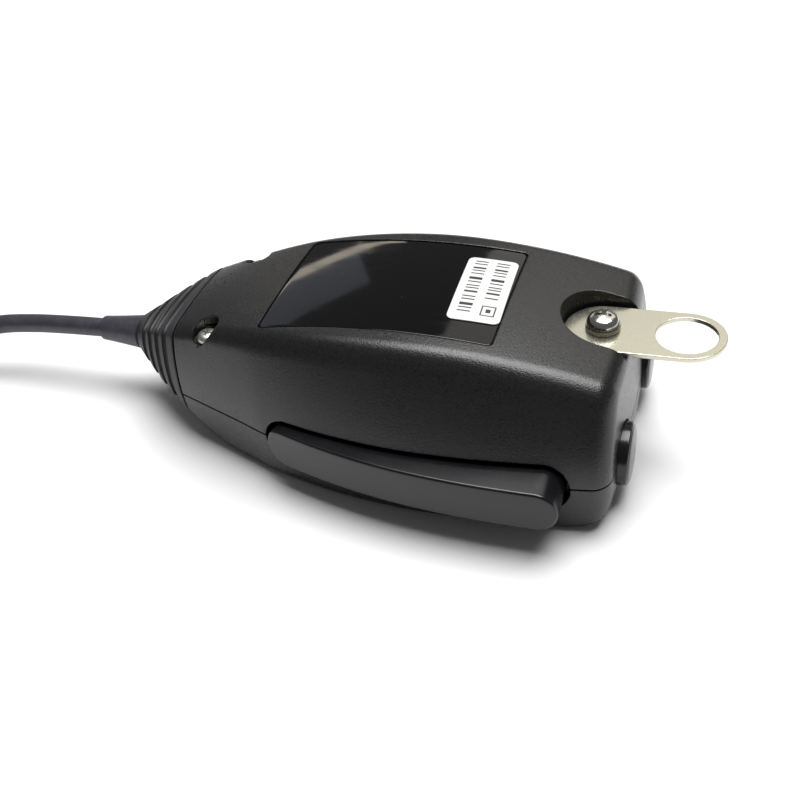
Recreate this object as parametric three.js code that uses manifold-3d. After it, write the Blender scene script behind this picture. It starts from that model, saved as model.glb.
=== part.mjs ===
// Hand microphone with a keypad, a press-to-talk bar, two end buttons, a hanger tab and a curly cord.
//
// It lies face down. +X runs from the cable end to the top end, +Z is out of the rear cover, and the
// press-to-talk bar is on the -Y side. All sizes are in millimetres. The case is built about its own
// mid-length and then moved, so that the origin is on the flat bar of the front face, between the
// keypad well and the sound slots, where the microphone rests on a table.

import * as THREE from 'three';
import { mergeVertices } from 'three/addons/utils/BufferGeometryUtils.js';
import Module from 'manifold-3d';

const wasm = await Module();
wasm.setup();

// ---------------------------------------------------------------- driving dimensions

const GAP = 0.3; // between pieces that seat on, or are cut around, each other
const SLIP = 0.05; // between flat faces that are clamped together
const RUN = 0.35; // round a piece that moves in its opening

const CASE = {
  length: 100,
  width: 65.4, // at the widest point of the parting line
  rearWidth: 46.6, // across the edges of the rear face
  height: 36.7, // on the crest
  crestSag: 7.25, // how far the crest drops towards both ends
  crestShift: 0.055, // how far the crest's top lies from the middle, as a share of the half length
  crown: 0.9, // how far the rear face drops towards its edges
  parting: 12, // height of the parting line
  partingGap: 0.3,
  wall: 2.2,
  edge: 3.2, // rounding of the rear edges
  foot: 3, // rounding of the front edges
  endEdge: 3.3, // rounding round the end face
  endLean: 1.2, // how far the end face leans back at the rear
  endTuck: 3.4, // how far it is drawn back at the front
  endBulge: 1.5, // how far the end face bows out
  lift: 6, // how far the front face rises at the cable end
  liftLength: 15,
  toeLift: 1.4, // how far it rises at the top end
  toeLength: 10,
};
// Half widths along the case as shares of the widest, at places given as shares of the half length.
const PARTING_LINE = [[-1, 0.52], [-0.65, 0.725], [-0.5, 0.817], [-0.23, 0.927], [0.07, 0.991],
  [0.37, 1], [0.67, 0.969], [1, 0.905]];
const REAR_LINE = [[-1, 0.601], [-0.53, 0.888], [0, 1], [0.48, 0.987], [1, 0.936]];

const PANEL = { length: 50.2, width: 34.5, thickness: 0.8, below: 0.2, corner: 1.2, centre: -1.7 };
const LABEL = { length: 10.9, width: 23.4, thickness: 0.2, corner: 1.4, fromPanelEnd: 5.7, aside: 0.6, turn: 0.035 };

const HANGER = {
  thickness: 1, halfWidth: 7.95, top: 29.4, holeRadius: 6.2, reach: 16.85, screwFromEnd: 7.3,
  pocketHalfWidth: 9.2, pocketGap: 0.6, padThickness: 2.4, padWall: 1.8,
};
const HANGER_SCREW = { headRadius: 3.4, headHeight: 2.3, radius: 1.9, length: 16 };
const WASHER = { radius: 3.6, thickness: 0.9 };
const POST = { radius: 3.3, top: 19.5 };
const HANGER_BOSS = { radius: 4.2, bottom: 20 };

const CASE_SCREW = { headRadius: 2.5, headHeight: 1.9, radius: 1.35, length: 19, fromSeam: 8.9, inset: 2.3 };
const COUNTERBORE = { radius: 3.2, floor: 26.8, boss: 4.3 };
const CASE_POST = { radius: 3.2 };

const PTT = {
  start: -24, end: 40.4, height: 9.4, centre: 11.4, slotGap: 1,
  proudStart: 1.5, proudEnd: 6.9, lipThickness: 1.6, lipHeight: 6, lipReach: 1.8, lipClear: 0.4,
  pivotInset: 5.6, pivotFromStart: 4.5, earRadius: 2.5, pinRadius: 1, pinSlip: 0.08, pinBelow: 2.6, pinAbove: 2.6,
};
const PTT_SWITCH = { length: 7, width: 7, height: 5, fromEnd: 22, reach: 1.2, travel: 2.5 };
const PTT_SPRING = { radius: 1.9, wire: 0.5, turns: 5, fromEnd: 30, height: 11.3, stopThickness: 1.8, stopWidth: 5 };

const BUTTON = { radius: 6.6, rise: 1.6, dome: 0.6, height: 10.4, travel: 0.8, wing: 1.1, wingThickness: 1,
  wingHeight: 9, stemRadius: 2, fromSide: 13.4 };
const END_SWITCH = { length: 3.6, width: 6.2, height: 5.4, plunger: 1.1, plungerRadius: 1.3 };

const FACE = { wellDepth: 1.2, wellEdge: 3.2, wellCorner: 4, fromSeam: 15.5, barToOrigin: 6.5, sideClear: 0.7329 };
const KEY = { rows: 4, columns: 4, web: 2.9, cornerWeb: 4.4, proud: 0.8, flange: 0.7, flangeThickness: 0.8,
  travel: 0.7 };
const MAT = { thickness: 1, margin: 1.2, side: 0.4 };
const BOARD = { thickness: 1.6, tongueHalf: 9, screwFromTongue: 1.9, sideClear: 1.4, pttClear: 3.4, shoulder: 8,
  screwFromBar: 6.063, screwRadius: 1, screwHead: 1.9, screwHeadHeight: 1.4, screwLength: 5, bossRadius: 2.3 };
const CONNECTOR = { length: 8, width: 10, height: 5, fromPad: 6 };
const CHIP = { length: 15, width: 7.5, height: 2.6, fromPadEnd: 4 };

const MIC = { radius: 4.9, height: 6.2, fromPost: 14.7, bayLength: 20.5 };
const GASKET = { radius: 6.8, height: 4.4 };
const CLOTH = { radius: 8.6, thickness: 0.5 };
const SLOT = { count: 5, width: 1.3, pitch: 3.2, reach: 8 };

const CABLE = { radius: 2.4, height: 15.5, coreEnd: 12 };
const BOOT = {
  length: 17.6, tipWall: 1.9, neckHalf: 8, neckHeight: 12, flangeHalf: 10, flangeHeight: 15.5,
  flangeThickness: 1.6, grooves: 4, grooveWidth: 1.5, grooveDepth: 1.1, firstGroove: 3.4, groovePitch: 3.3,
  fullness: 0.22, bore: 0.35,
};
const SLEEVE = { length: 11.3, baseWall: 1.7, tipWall: 0.6, lip: 0.5 };
const CLAMP = { width: 17, depth: 5, thickness: 1.8, fromSeam: 7, screwHalf: 6, postRadius: 2.3,
  screwRadius: 1, screwHead: 2, screwHeadHeight: 1.4, screwLength: 7 };

// The free cord's places are in the finished frame. Its exit is the sleeve's tip.
const CORD_EXIT = [-92.9, 0, 15.5];
const COIL = { radius: 7, x: -164, y: -20, turn: 22, leg: 85.5 };
const PLUG = { bootLength: 20, bootWall: 1, bootBase: 6.2, shellLength: 16, shellRadius: 8, ringLength: 12,
  ringRadius: 9.2, ringBore: 7.6, insertRadius: 6.9, insertDepth: 5.5, ringLap: 4 };

// ---------------------------------------------------------------- places worked out from them

const halfLength = CASE.length / 2;
const seamX = -halfLength;
const postX = halfLength - HANGER.screwFromEnd;
const micX = postX - MIC.fromPost;
const padStart = seamX + FACE.fromSeam;
const padEnd = micX - MIC.bayLength;
const originX = padEnd + FACE.barToOrigin;
const keyPitchX = (padEnd - padStart) / KEY.rows;
const keyPitchY = (2 * (partingHalf(padStart) - CASE.wall - FACE.sideClear)) / KEY.columns;
const wellRoof = FACE.wellDepth + CASE.wall; // inside of the floor of the keypad well
const keyFlangeTop = wellRoof + SLIP + KEY.flangeThickness;
const matBottom = keyFlangeTop + KEY.travel + GAP;
const boardBottom = matBottom + MAT.thickness + SLIP;
const boardTop = boardBottom + BOARD.thickness;
const caseScrewX = seamX + CASE_SCREW.fromSeam;
const caseScrewY = rearHalf(caseScrewX) - CASE_SCREW.inset;
const clampX = seamX + CLAMP.fromSeam;
const bootEnd = seamX - BOOT.length;
const sleeveEnd = bootEnd - SLEEVE.length;
const pivotX = PTT.start + PTT.pivotFromStart;
const pivotY = PTT.pivotInset - partingHalf(pivotX);
const pinLow = PTT.centre - PTT.height / 2 - PTT.pinBelow;
const pinHigh = PTT.centre + PTT.height / 2 + PTT.pinAbove;
const boardNear = pivotY + PTT.earRadius + 2.2; // the board's edge beside the pivot
const boardTongue = clampX + CLAMP.depth / 2 + GAP;
const buttonY = partingHalf(halfLength) - BUTTON.fromSide;
const tabBottom = HANGER.top - HANGER.thickness;
const pocketFloor = tabBottom - SLIP;
const pocketEnd = postX - HANGER.halfWidth - HANGER.pocketGap;

// ---------------------------------------------------------------- small tools

/** Height at x of a smooth curve through a few [x, y] knots. */
function fair(knots, x) {
  const last = knots.length - 1;
  let i = 0;
  while (i < last - 1 && x > knots[i + 1][0]) i += 1;
  const slope = (k) => {
    const before = knots[Math.max(k - 1, 0)];
    const after = knots[Math.min(k + 1, last)];
    return (after[1] - before[1]) / (after[0] - before[0]);
  };
  const span = knots[i + 1][0] - knots[i][0];
  const t = (x - knots[i][0]) / span;
  const t2 = t * t;
  const t3 = t2 * t;
  return knots[i][1] * (2 * t3 - 3 * t2 + 1) + knots[i + 1][1] * (3 * t2 - 2 * t3)
    + span * (slope(i) * (t3 - 2 * t2 + t) + slope(i + 1) * (t3 - t2));
}

function partingHalf(x) {
  return (CASE.width / 2) * fair(PARTING_LINE, x / halfLength);
}

function rearHalf(x) {
  return (CASE.rearWidth / 2) * fair(REAR_LINE, x / halfLength);
}

function crest(x) {
  return CASE.height - CASE.crestSag * (x / halfLength - CASE.crestShift) ** 2;
}

function frontFace(x) {
  const along = Math.max(0, (CASE.liftLength - (x - seamX)) / CASE.liftLength);
  const beyond = Math.max(0, (x - halfLength + CASE.toeLength) / CASE.toeLength);
  return CASE.lift * along * along + CASE.toeLift * beyond * beyond;
}

/** A solid that can be joined and cut, from a closed geometry. */
function solid(geometry) {
  const bare = geometry.clone();
  bare.deleteAttribute('normal');
  bare.deleteAttribute('uv');
  const merged = mergeVertices(bare, 1e-4);
  return new wasm.Manifold(new wasm.Mesh({
    numProp: 3,
    vertProperties: merged.attributes.position.array,
    triVerts: merged.index.array,
  }));
}

function geometryOf(body) {
  const mesh = body.getMesh();
  const geometry = new THREE.BufferGeometry();
  geometry.setAttribute('position', new THREE.BufferAttribute(mesh.vertProperties, 3));
  geometry.setIndex(new THREE.BufferAttribute(mesh.triVerts, 1));
  geometry.computeVertexNormals();
  return geometry;
}

function joined(...bodies) {
  return bodies.reduce((all, body) => all.add(body));
}

function cut(body, ...tools) {
  return tools.reduce((left, tool) => left.subtract(tool), body);
}

/** A box between two corners. */
function block(x0, x1, y0, y1, z0, z1) {
  const geometry = new THREE.BoxGeometry(x1 - x0, y1 - y0, z1 - z0);
  geometry.translate((x0 + x1) / 2, (y0 + y1) / 2, (z0 + z1) / 2);
  return solid(geometry);
}

/** An upright cylinder or cone. */
function column(x, y, z0, z1, radius, topRadius = radius, sides = 12) {
  const geometry = new THREE.CylinderGeometry(topRadius, radius, z1 - z0, sides);
  geometry.rotateX(Math.PI / 2);
  geometry.translate(x, y, (z0 + z1) / 2);
  return solid(geometry);
}

/** A body of revolution about a line along +X from x, with [along, radius] points from axis to axis. */
function turned(points, x, y, z, sides = 20) {
  const profile = points.map(([along, radius]) => new THREE.Vector2(radius, along));
  const geometry = new THREE.LatheGeometry(profile, sides);
  geometry.rotateZ(-Math.PI / 2);
  geometry.translate(x, y, z);
  return solid(geometry);
}

/** An upright body of revolution with [height, radius] points from axis to axis. */
function turnedUp(points, x, y, sides = 20) {
  const profile = points.map(([along, radius]) => new THREE.Vector2(radius, along));
  const geometry = new THREE.LatheGeometry(profile, sides);
  geometry.rotateX(Math.PI / 2);
  geometry.translate(x, y, 0);
  return solid(geometry);
}

/** A flat outline raised between two heights. */
function raised(shape, z0, z1, curveSegments = 6) {
  const geometry = new THREE.ExtrudeGeometry(shape, { depth: z1 - z0, bevelEnabled: false, curveSegments });
  geometry.translate(0, 0, z0);
  return solid(geometry);
}

/** A rectangle with round corners. */
function roundedRectangle(x0, x1, y0, y1, radius) {
  const shape = new THREE.Shape();
  shape.moveTo(x0 + radius, y0);
  shape.lineTo(x1 - radius, y0);
  shape.absarc(x1 - radius, y0 + radius, radius, -Math.PI / 2, 0);
  shape.lineTo(x1, y1 - radius);
  shape.absarc(x1 - radius, y1 - radius, radius, 0, Math.PI / 2);
  shape.lineTo(x0 + radius, y1);
  shape.absarc(x0 + radius, y1 - radius, radius, Math.PI / 2, Math.PI);
  shape.lineTo(x0, y0 + radius);
  shape.absarc(x0 + radius, y0 + radius, radius, Math.PI, Math.PI * 1.5);
  return shape;
}

/** A closed skin through rings of points, with both ends closed on their middles. */
function lofted(rings) {
  const size = rings[0].length;
  const positions = rings.flat().flatMap((p) => [p.x, p.y, p.z]);
  const faces = [];
  for (let r = 0; r < rings.length - 1; r += 1) {
    for (let k = 0; k < size; k += 1) {
      const a = r * size + k;
      const b = r * size + ((k + 1) % size);
      faces.push(a, a + size, b, b, a + size, b + size);
    }
  }
  for (const [ring, first] of [[0, true], [rings.length - 1, false]]) {
    const middle = new THREE.Vector3();
    rings[ring].forEach((p) => middle.addScaledVector(p, 1 / size));
    const hub = positions.length / 3;
    positions.push(middle.x, middle.y, middle.z);
    for (let k = 0; k < size; k += 1) {
      const a = ring * size + k;
      const b = ring * size + ((k + 1) % size);
      faces.push(hub, first ? a : b, first ? b : a);
    }
  }
  const geometry = new THREE.BufferGeometry();
  geometry.setAttribute('position', new THREE.Float32BufferAttribute(positions, 3));
  geometry.setIndex(faces);
  return solid(geometry);
}

/** A round tube along points. */
function tube(points, radius, steps, sides = 8) {
  const section = new THREE.Shape();
  section.absarc(0, 0, radius, 0, Math.PI * 2);
  const path = new THREE.CatmullRomCurve3(points.map(([x, y, z]) => new THREE.Vector3(x, y, z)));
  return solid(new THREE.ExtrudeGeometry(section, {
    steps, extrudePath: path, bevelEnabled: false, curveSegments: sides / 2,
  }));
}

/** A screw with its head up: a domed head, a flat under it and a straight shank. */
function screw(x, y, seat, { head, headHeight, radius, length }) {
  const body = turnedUp([
    [seat - length, 0], [seat - length, radius], [seat, radius], [seat, head],
    [seat + headHeight * 0.6, head], [seat + headHeight * 0.9, head * 0.7], [seat + headHeight, 0],
  ], x, y, 10);
  const cross = head * 1.1;
  const floor = seat + headHeight * 0.45;
  return cut(
    body,
    block(x - cross / 2, x + cross / 2, y - head * 0.12, y + head * 0.12, floor, seat + headHeight + 1),
    block(x - head * 0.12, x + head * 0.12, y - cross / 2, y + cross / 2, floor, seat + headHeight + 1),
  );
}

// ---------------------------------------------------------------- the case's form

/** Half of the case's section at x, from the crest down the side to the middle of the front face. */
function halfSection(x, inset) {
  const side = partingHalf(x) - inset * 1.05;
  const rear = rearHalf(x) - inset;
  const top = crest(x) - inset;
  const rearEdge = top - CASE.crown;
  const bottom = frontFace(x) + inset;
  const edge = Math.max(CASE.edge - inset, 1);
  const foot = Math.max(CASE.foot - inset, 0.8);
  const shoulder = CASE.parting + 5.5 + 3.5 * Math.max(0, -x / halfLength) ** 2;
  const flank = new THREE.QuadraticBezierCurve(
    new THREE.Vector2(rear, rearEdge),
    new THREE.Vector2(side, shoulder),
    new THREE.Vector2(side, CASE.parting),
  );
  const below = flank.getPoint(0.14);
  const path = new THREE.Path();
  path.moveTo(0, top);
  path.quadraticCurveTo((rear - edge) / 2, top, rear - edge, rearEdge + CASE.crown * 0.28);
  path.quadraticCurveTo(rear - edge * 0.1, rearEdge, below.x, below.y);
  const outline = path.getPoints(2);
  for (const t of [0.38, 0.68, 1]) outline.push(flank.getPoint(t));
  const floor = new THREE.Path();
  floor.moveTo(side - 0.4, bottom + foot);
  floor.quadraticCurveTo(side - 0.5, bottom, side - 0.4 - foot, bottom);
  outline.push(...floor.getPoints(2), new THREE.Vector2(0, bottom));
  return outline;
}

/** The whole ring of the section at x, as points in space. */
function ring(x, inset, shrink = 0) {
  const half = halfSection(x, inset + shrink);
  const mirrored = half.slice(1, -1).reverse().map((p) => new THREE.Vector2(-p.x, p.y));
  return [...half, ...mirrored].map((p) => new THREE.Vector3(x, p.x, p.y));
}

/** Where the end face is, over a point of it. */
function endFace(y, z, inset) {
  const high = Math.max(0, z - CASE.parting) / (crest(halfLength) - CASE.parting);
  const low = Math.max(0, CASE.parting - z) / CASE.parting;
  const bow = CASE.endBulge * (y / partingHalf(halfLength)) ** 2;
  return halfLength + 0.2 - inset - bow - CASE.endLean * high ** 1.3 - CASE.endTuck * low ** 4;
}

/** The case's outer form, drawn in by inset all over. */
function caseForm(inset) {
  const start = seamX + inset;
  const stop = halfLength - 8.5;
  const steps = 11;
  const rings = [];
  rings.push(ring(start, inset, inset ? 0 : 0.6));
  for (let k = inset ? 1 : 0; k <= steps; k += 1) {
    rings.push(ring(start + (inset ? 0 : 0.6) + ((stop - start) * k) / steps, inset));
  }
  const turn = Math.max(CASE.endEdge - inset, 0.8);
  for (const share of [0, 0.5, 1]) {
    const angle = (share * Math.PI) / 2;
    const shrink = turn * (1 - Math.cos(angle));
    rings.push(ring(halfLength - 1, inset, shrink).map((p) => new THREE.Vector3(
      endFace(p.y, p.z, inset) - turn * (1 - Math.sin(angle)),
      p.y,
      p.z,
    )));
  }
  return lofted(rings);
}

const outerForm = caseForm(0);
const innerForm = caseForm(CASE.wall);

// ---------------------------------------------------------------- cut-outs that more than one piece shares

function slotShape(extra) {
  const shape = new THREE.Shape();
  const radius = PTT.height / 2 + extra;
  const flat = PTT.height / 2;
  shape.moveTo(PTT.start + flat, PTT.centre - radius);
  shape.lineTo(PTT.end - flat, PTT.centre - radius);
  shape.absarc(PTT.end - flat, PTT.centre, radius, -Math.PI / 2, Math.PI / 2);
  shape.lineTo(PTT.start + flat, PTT.centre + radius);
  shape.absarc(PTT.start + flat, PTT.centre, radius, Math.PI / 2, Math.PI * 1.5);
  return shape;
}

/** A stadium seen from the side, pushed through the case's flank. */
function sideways(shape, y0, y1) {
  const geometry = new THREE.ExtrudeGeometry(shape, { depth: y1 - y0, bevelEnabled: false, curveSegments: 6 });
  geometry.rotateX(Math.PI / 2);
  geometry.translate(0, y1, 0);
  return solid(geometry);
}

function buttonBore(side) {
  const points = [[-8, 0], [-8, BUTTON.radius + RUN], [8, BUTTON.radius + RUN], [8, 0]];
  return turned(points, halfLength, side * buttonY, BUTTON.height, 24);
}

function bootOpening() {
  const half = BOOT.neckHalf + GAP;
  const tall = BOOT.neckHeight / 2 + GAP;
  return block(seamX - 1, seamX + CASE.wall + 1, -half, half, CABLE.height - tall, CABLE.height + tall);
}

/** The pocket that the hanger tab lies in: a round end, open at the top end of the case. */
function pocketShape(extra) {
  const shape = new THREE.Shape();
  const half = HANGER.pocketHalfWidth + extra;
  const round = half * 0.92;
  const end = halfLength + 5;
  const start = pocketEnd - extra;
  shape.moveTo(end, -half);
  shape.lineTo(end, half);
  shape.lineTo(start + round, half);
  shape.bezierCurveTo(start + round * 0.45, half, start, half * 0.55, start, 0);
  shape.bezierCurveTo(start, -half * 0.55, start + round * 0.45, -half, start + round, -half);
  return shape;
}

function panelShape(extra) {
  const x0 = PANEL.centre - PANEL.length / 2 - extra;
  const x1 = PANEL.centre + PANEL.length / 2 + extra;
  const half = PANEL.width / 2 + extra;
  return roundedRectangle(x0, x1, -half, half, PANEL.corner);
}

function slice(shape, outerInset, innerInset) {
  const prism = raised(shape, CASE.parting + 4, CASE.height + 5);
  return caseForm(outerInset).intersect(prism).subtract(caseForm(innerInset));
}

// ---------------------------------------------------------------- rear cover and what is on it

function rearShell() {
  const over = block(-CASE.length, CASE.length, -CASE.width, CASE.width,
    CASE.parting + CASE.partingGap / 2, CASE.height + 10);
  const inside = innerForm.subtract(raised(pocketShape(HANGER.padWall), pocketFloor - HANGER.padThickness,
    CASE.height + 5));
  let shell = outerForm.subtract(inside).intersect(over);
  const bossTop = pocketFloor - HANGER.padThickness / 2;
  shell = shell.add(column(postX, 0, HANGER_BOSS.bottom, bossTop, HANGER_BOSS.radius));
  for (const side of [-1, 1]) {
    const boss = column(caseScrewX, side * caseScrewY, CASE.parting + CASE.partingGap, COUNTERBORE.floor + 1,
      COUNTERBORE.boss);
    shell = shell.add(boss.intersect(outerForm));
    shell = cut(
      shell,
      column(caseScrewX, side * caseScrewY, COUNTERBORE.floor, CASE.height + 5, COUNTERBORE.radius),
      column(caseScrewX, side * caseScrewY, 0, CASE.height, CASE_SCREW.radius + GAP),
      buttonBore(side),
    );
  }
  const socket = column(pivotX, pivotY, pinHigh - 1.5, CASE.height, PTT.earRadius)
    .intersect(caseForm(CASE.wall - 0.5));
  shell = joined(shell, socket, springStop());
  return cut(
    shell,
    slice(panelShape(GAP), -1, PANEL.below + PANEL.thickness + GAP),
    raised(pocketShape(0), pocketFloor, CASE.height + 5),
    column(postX, 0, HANGER_BOSS.bottom - 1, pocketFloor + 1, HANGER_SCREW.radius + GAP),
    sideways(slotShape(PTT.slotGap), -CASE.width, boardNear - BOARD.pttClear),
    bootOpening(),
    column(pivotX, pivotY, 0, pinHigh + GAP, PTT.pinRadius + GAP),
  );
}

function rearPanel() {
  return slice(panelShape(0), PANEL.below, PANEL.below + PANEL.thickness);
}

function dataLabel() {
  const x = PANEL.centre + PANEL.length / 2 - LABEL.fromPanelEnd;
  const shape = roundedRectangle(-LABEL.length / 2, LABEL.length / 2, -LABEL.width / 2, LABEL.width / 2,
    LABEL.corner);
  const plate = new THREE.ExtrudeGeometry(shape, { depth: CASE.height, bevelEnabled: false, curveSegments: 4 });
  plate.rotateZ(LABEL.turn);
  plate.translate(x, LABEL.aside, CASE.parting);
  const low = PANEL.below - SLIP;
  return caseForm(low - LABEL.thickness).intersect(solid(plate)).subtract(caseForm(low));
}

function caseScrew(side) {
  return screw(caseScrewX, side * caseScrewY, COUNTERBORE.floor + SLIP, {
    head: CASE_SCREW.headRadius, headHeight: CASE_SCREW.headHeight, radius: CASE_SCREW.radius,
    length: CASE_SCREW.length,
  });
}

function hangerTab() {
  const tipX = postX + HANGER.reach;
  const shape = new THREE.Shape();
  shape.absarc(postX, 0, HANGER.halfWidth, Math.PI / 2, Math.PI * 1.5);
  shape.absarc(tipX, 0, HANGER.halfWidth, -Math.PI / 2, Math.PI / 2);
  const hole = new THREE.Path();
  hole.absarc(tipX, 0, HANGER.holeRadius, 0, Math.PI * 2, true);
  const screwHole = new THREE.Path();
  screwHole.absarc(postX, 0, HANGER_SCREW.radius + GAP, 0, Math.PI * 2, true);
  shape.holes.push(hole, screwHole);
  return raised(shape, tabBottom, HANGER.top, 8);
}

function hangerWasher() {
  const low = HANGER.top + SLIP;
  return cut(
    column(postX, 0, low, low + WASHER.thickness, WASHER.radius),
    column(postX, 0, low - 1, low + WASHER.thickness + 1, HANGER_SCREW.radius + GAP),
  );
}

function hangerScrew() {
  return screw(postX, 0, HANGER.top + WASHER.thickness + 2 * SLIP, {
    head: HANGER_SCREW.headRadius, headHeight: HANGER_SCREW.headHeight, radius: HANGER_SCREW.radius,
    length: HANGER_SCREW.length,
  });
}

// ---------------------------------------------------------------- front case

function keyX(row) {
  return padStart + (row + 0.5) * keyPitchX;
}

function keyY(line) {
  return (line - (KEY.columns - 1) / 2) * keyPitchY;
}

function keyWindow(row, line, extra) {
  const halfX = (keyPitchX - KEY.cornerWeb) / 2 + extra;
  const halfY = (keyPitchY - KEY.web) / 2 + extra;
  return roundedRectangle(keyX(row) - halfX, keyX(row) + halfX, keyY(line) - halfY, keyY(line) + halfY, 1.2);
}

function boardScrewPlaces() {
  const far = padEnd + BOARD.bossRadius + MAT.margin + 1;
  const near = boardTongue + BOARD.screwFromTongue;
  const narrow = BOARD.tongueHalf - BOARD.bossRadius;
  const wide = BOARD.pttClear - boardNear - BOARD.screwFromBar;
  return [[near, -narrow], [near, narrow], [far, -wide], [far, wide]];
}

/** Bosses, posts and the cable's saddle, all standing on the front case's floor. */
function frontPosts() {
  const posts = [column(postX, 0, 0.5, POST.top, POST.radius)];
  for (const side of [-1, 1]) {
    posts.push(column(caseScrewX, side * caseScrewY, 2, CASE.parting - CASE.partingGap, CASE_POST.radius));
    posts.push(column(clampX, side * CLAMP.screwHalf, 2, CABLE.height + CABLE.radius - 0.4, CLAMP.postRadius));
  }
  posts.push(block(clampX - CLAMP.depth / 2, clampX + CLAMP.depth / 2, -CLAMP.screwHalf, CLAMP.screwHalf,
    3, CABLE.height - CABLE.radius - GAP));
  for (const [x, y] of boardScrewPlaces()) posts.push(column(x, y, 0.5, boardBottom - SLIP, BOARD.bossRadius));
  posts.push(column(pivotX, pivotY, 1, pinLow + 1.5, PTT.earRadius));
  return joined(...posts).intersect(outerForm);
}

function frontShell() {
  const under = block(-CASE.length, CASE.length, -CASE.width, CASE.width, -5, CASE.parting - CASE.partingGap / 2);
  const wellHalf = (KEY.columns * keyPitchY) / 2 + FACE.wellEdge - 2;
  const well = roundedRectangle(padStart - 1, padEnd + 1, -wellHalf, wellHalf, FACE.wellCorner);
  const floor = roundedRectangle(padStart - 3, padEnd + 3, -wellHalf - 2, wellHalf + 2, FACE.wellCorner);
  let shell = outerForm.intersect(under).subtract(innerForm);
  shell = shell.add(raised(floor, CASE.wall / 2, wellRoof, 2).intersect(outerForm));
  shell = shell.add(frontPosts());
  shell = shell.subtract(raised(well, -1, FACE.wellDepth, 2));
  for (let row = 0; row < KEY.rows; row += 1) {
    for (let line = 0; line < KEY.columns; line += 1) {
      shell = shell.subtract(raised(keyWindow(row, line, RUN), -1, wellRoof + 1, 1));
    }
  }
  for (let k = 0; k < SLOT.count; k += 1) {
    const x = micX + (k - (SLOT.count - 1) / 2) * SLOT.pitch;
    const half = SLOT.width / 2;
    const reach = Math.sqrt(SLOT.reach ** 2 - (x - micX) ** 2);
    shell = shell.subtract(raised(roundedRectangle(x - half, x + half, -reach, reach, half * 0.9), -1,
      CASE.wall + 1, 1));
  }
  for (const side of [-1, 1]) {
    shell = cut(
      shell,
      buttonBore(side),
      column(caseScrewX, side * caseScrewY, COUNTERBORE.floor - CASE_SCREW.length - GAP, CASE.parting + 1,
        CASE_SCREW.radius + GAP),
      column(clampX, side * CLAMP.screwHalf, CABLE.height + CABLE.radius - CLAMP.screwLength, CASE.height,
        CLAMP.screwRadius + GAP),
    );
  }
  for (const [x, y] of boardScrewPlaces()) {
    shell = shell.subtract(column(x, y, boardTop - BOARD.screwLength - GAP, CASE.parting, BOARD.screwRadius + GAP));
  }
  return cut(
    shell,
    column(postX, 0, HANGER.top - HANGER_SCREW.length - GAP, CASE.height, HANGER_SCREW.radius + GAP),
    sideways(slotShape(PTT.slotGap), -CASE.width, boardNear - BOARD.pttClear),
    bootOpening(),
    column(pivotX, pivotY, pinLow - GAP, CASE.height, PTT.pinRadius + GAP),
  );
}

function key(row, line) {
  const low = FACE.wellDepth - KEY.proud;
  const cap = raised(keyWindow(row, line, 0), low, wellRoof + SLIP + 0.2, 1);
  const flange = raised(keyWindow(row, line, KEY.flange), wellRoof + SLIP, keyFlangeTop, 1);
  return cap.add(flange);
}

function keyMat() {
  const half = (KEY.columns * keyPitchY - KEY.web) / 2 + KEY.flange + MAT.side;
  const shape = roundedRectangle(padStart - MAT.margin, padEnd + MAT.margin, -half, half, 2);
  const mat = raised(shape, matBottom, matBottom + MAT.thickness, 3);
  return mat.subtract(column(pivotX, pivotY, matBottom - 1, matBottom + MAT.thickness + 1, PTT.earRadius + GAP));
}

function mainBoard() {
  const end = postX - POST.radius - GAP + 2.2;
  const neck = caseScrewX + COUNTERBORE.boss + GAP;
  const inner = (x) => partingHalf(x) - CASE.wall - BOARD.sideClear;
  const shape = new THREE.Shape();
  shape.moveTo(boardTongue, -BOARD.tongueHalf);
  shape.lineTo(neck, -BOARD.tongueHalf);
  shape.lineTo(neck + 4, boardNear + 1.5);
  shape.lineTo(pivotX, boardNear);
  shape.lineTo(pivotX + BOARD.shoulder, boardNear);
  shape.lineTo(pivotX + BOARD.shoulder + BOARD.pttClear, boardNear - BOARD.pttClear);
  shape.lineTo(end, boardNear - BOARD.pttClear);
  shape.lineTo(end, inner(end) - 4);
  shape.lineTo(neck + 14, inner(neck + 8));
  shape.lineTo(neck + 2, inner(neck) - 2);
  shape.lineTo(neck, BOARD.tongueHalf);
  shape.lineTo(boardTongue, BOARD.tongueHalf);
  const notch = column(postX, 0, boardBottom - 1, boardTop + 1, POST.radius + GAP);
  const window = column(micX, 0, boardBottom - 1, boardTop + 1, GASKET.radius + GAP);
  const holes = boardScrewPlaces().map(([x, y]) => column(x, y, boardBottom - 1, boardTop + 1,
    BOARD.screwRadius + GAP, BOARD.screwRadius + GAP, 12));
  return cut(raised(shape, boardBottom, boardTop), notch, window, ...holes);
}

function boardScrew([x, y]) {
  return screw(x, y, boardTop + SLIP, {
    head: BOARD.screwHead, headHeight: BOARD.screwHeadHeight, radius: BOARD.screwRadius, length: BOARD.screwLength,
  });
}

// ---------------------------------------------------------------- microphone capsule

function micCapsule() {
  const low = CASE.wall + CLOTH.thickness + 2 * SLIP + 1.2;
  return column(micX, 0, low, low + MIC.height, MIC.radius);
}

function micGasket() {
  const low = CASE.wall + CLOTH.thickness + 2 * SLIP;
  return cut(
    column(micX, 0, low, low + GASKET.height, GASKET.radius),
    column(micX, 0, low + 1.2 - SLIP, low + GASKET.height + 1, MIC.radius + SLIP),
    column(micX, 0, low - 1, low + 2, MIC.radius - 1.5),
  );
}

function soundCloth() {
  return column(micX, 0, CASE.wall + SLIP, CASE.wall + SLIP + CLOTH.thickness, CLOTH.radius);
}

// ---------------------------------------------------------------- press-to-talk bar

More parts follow.
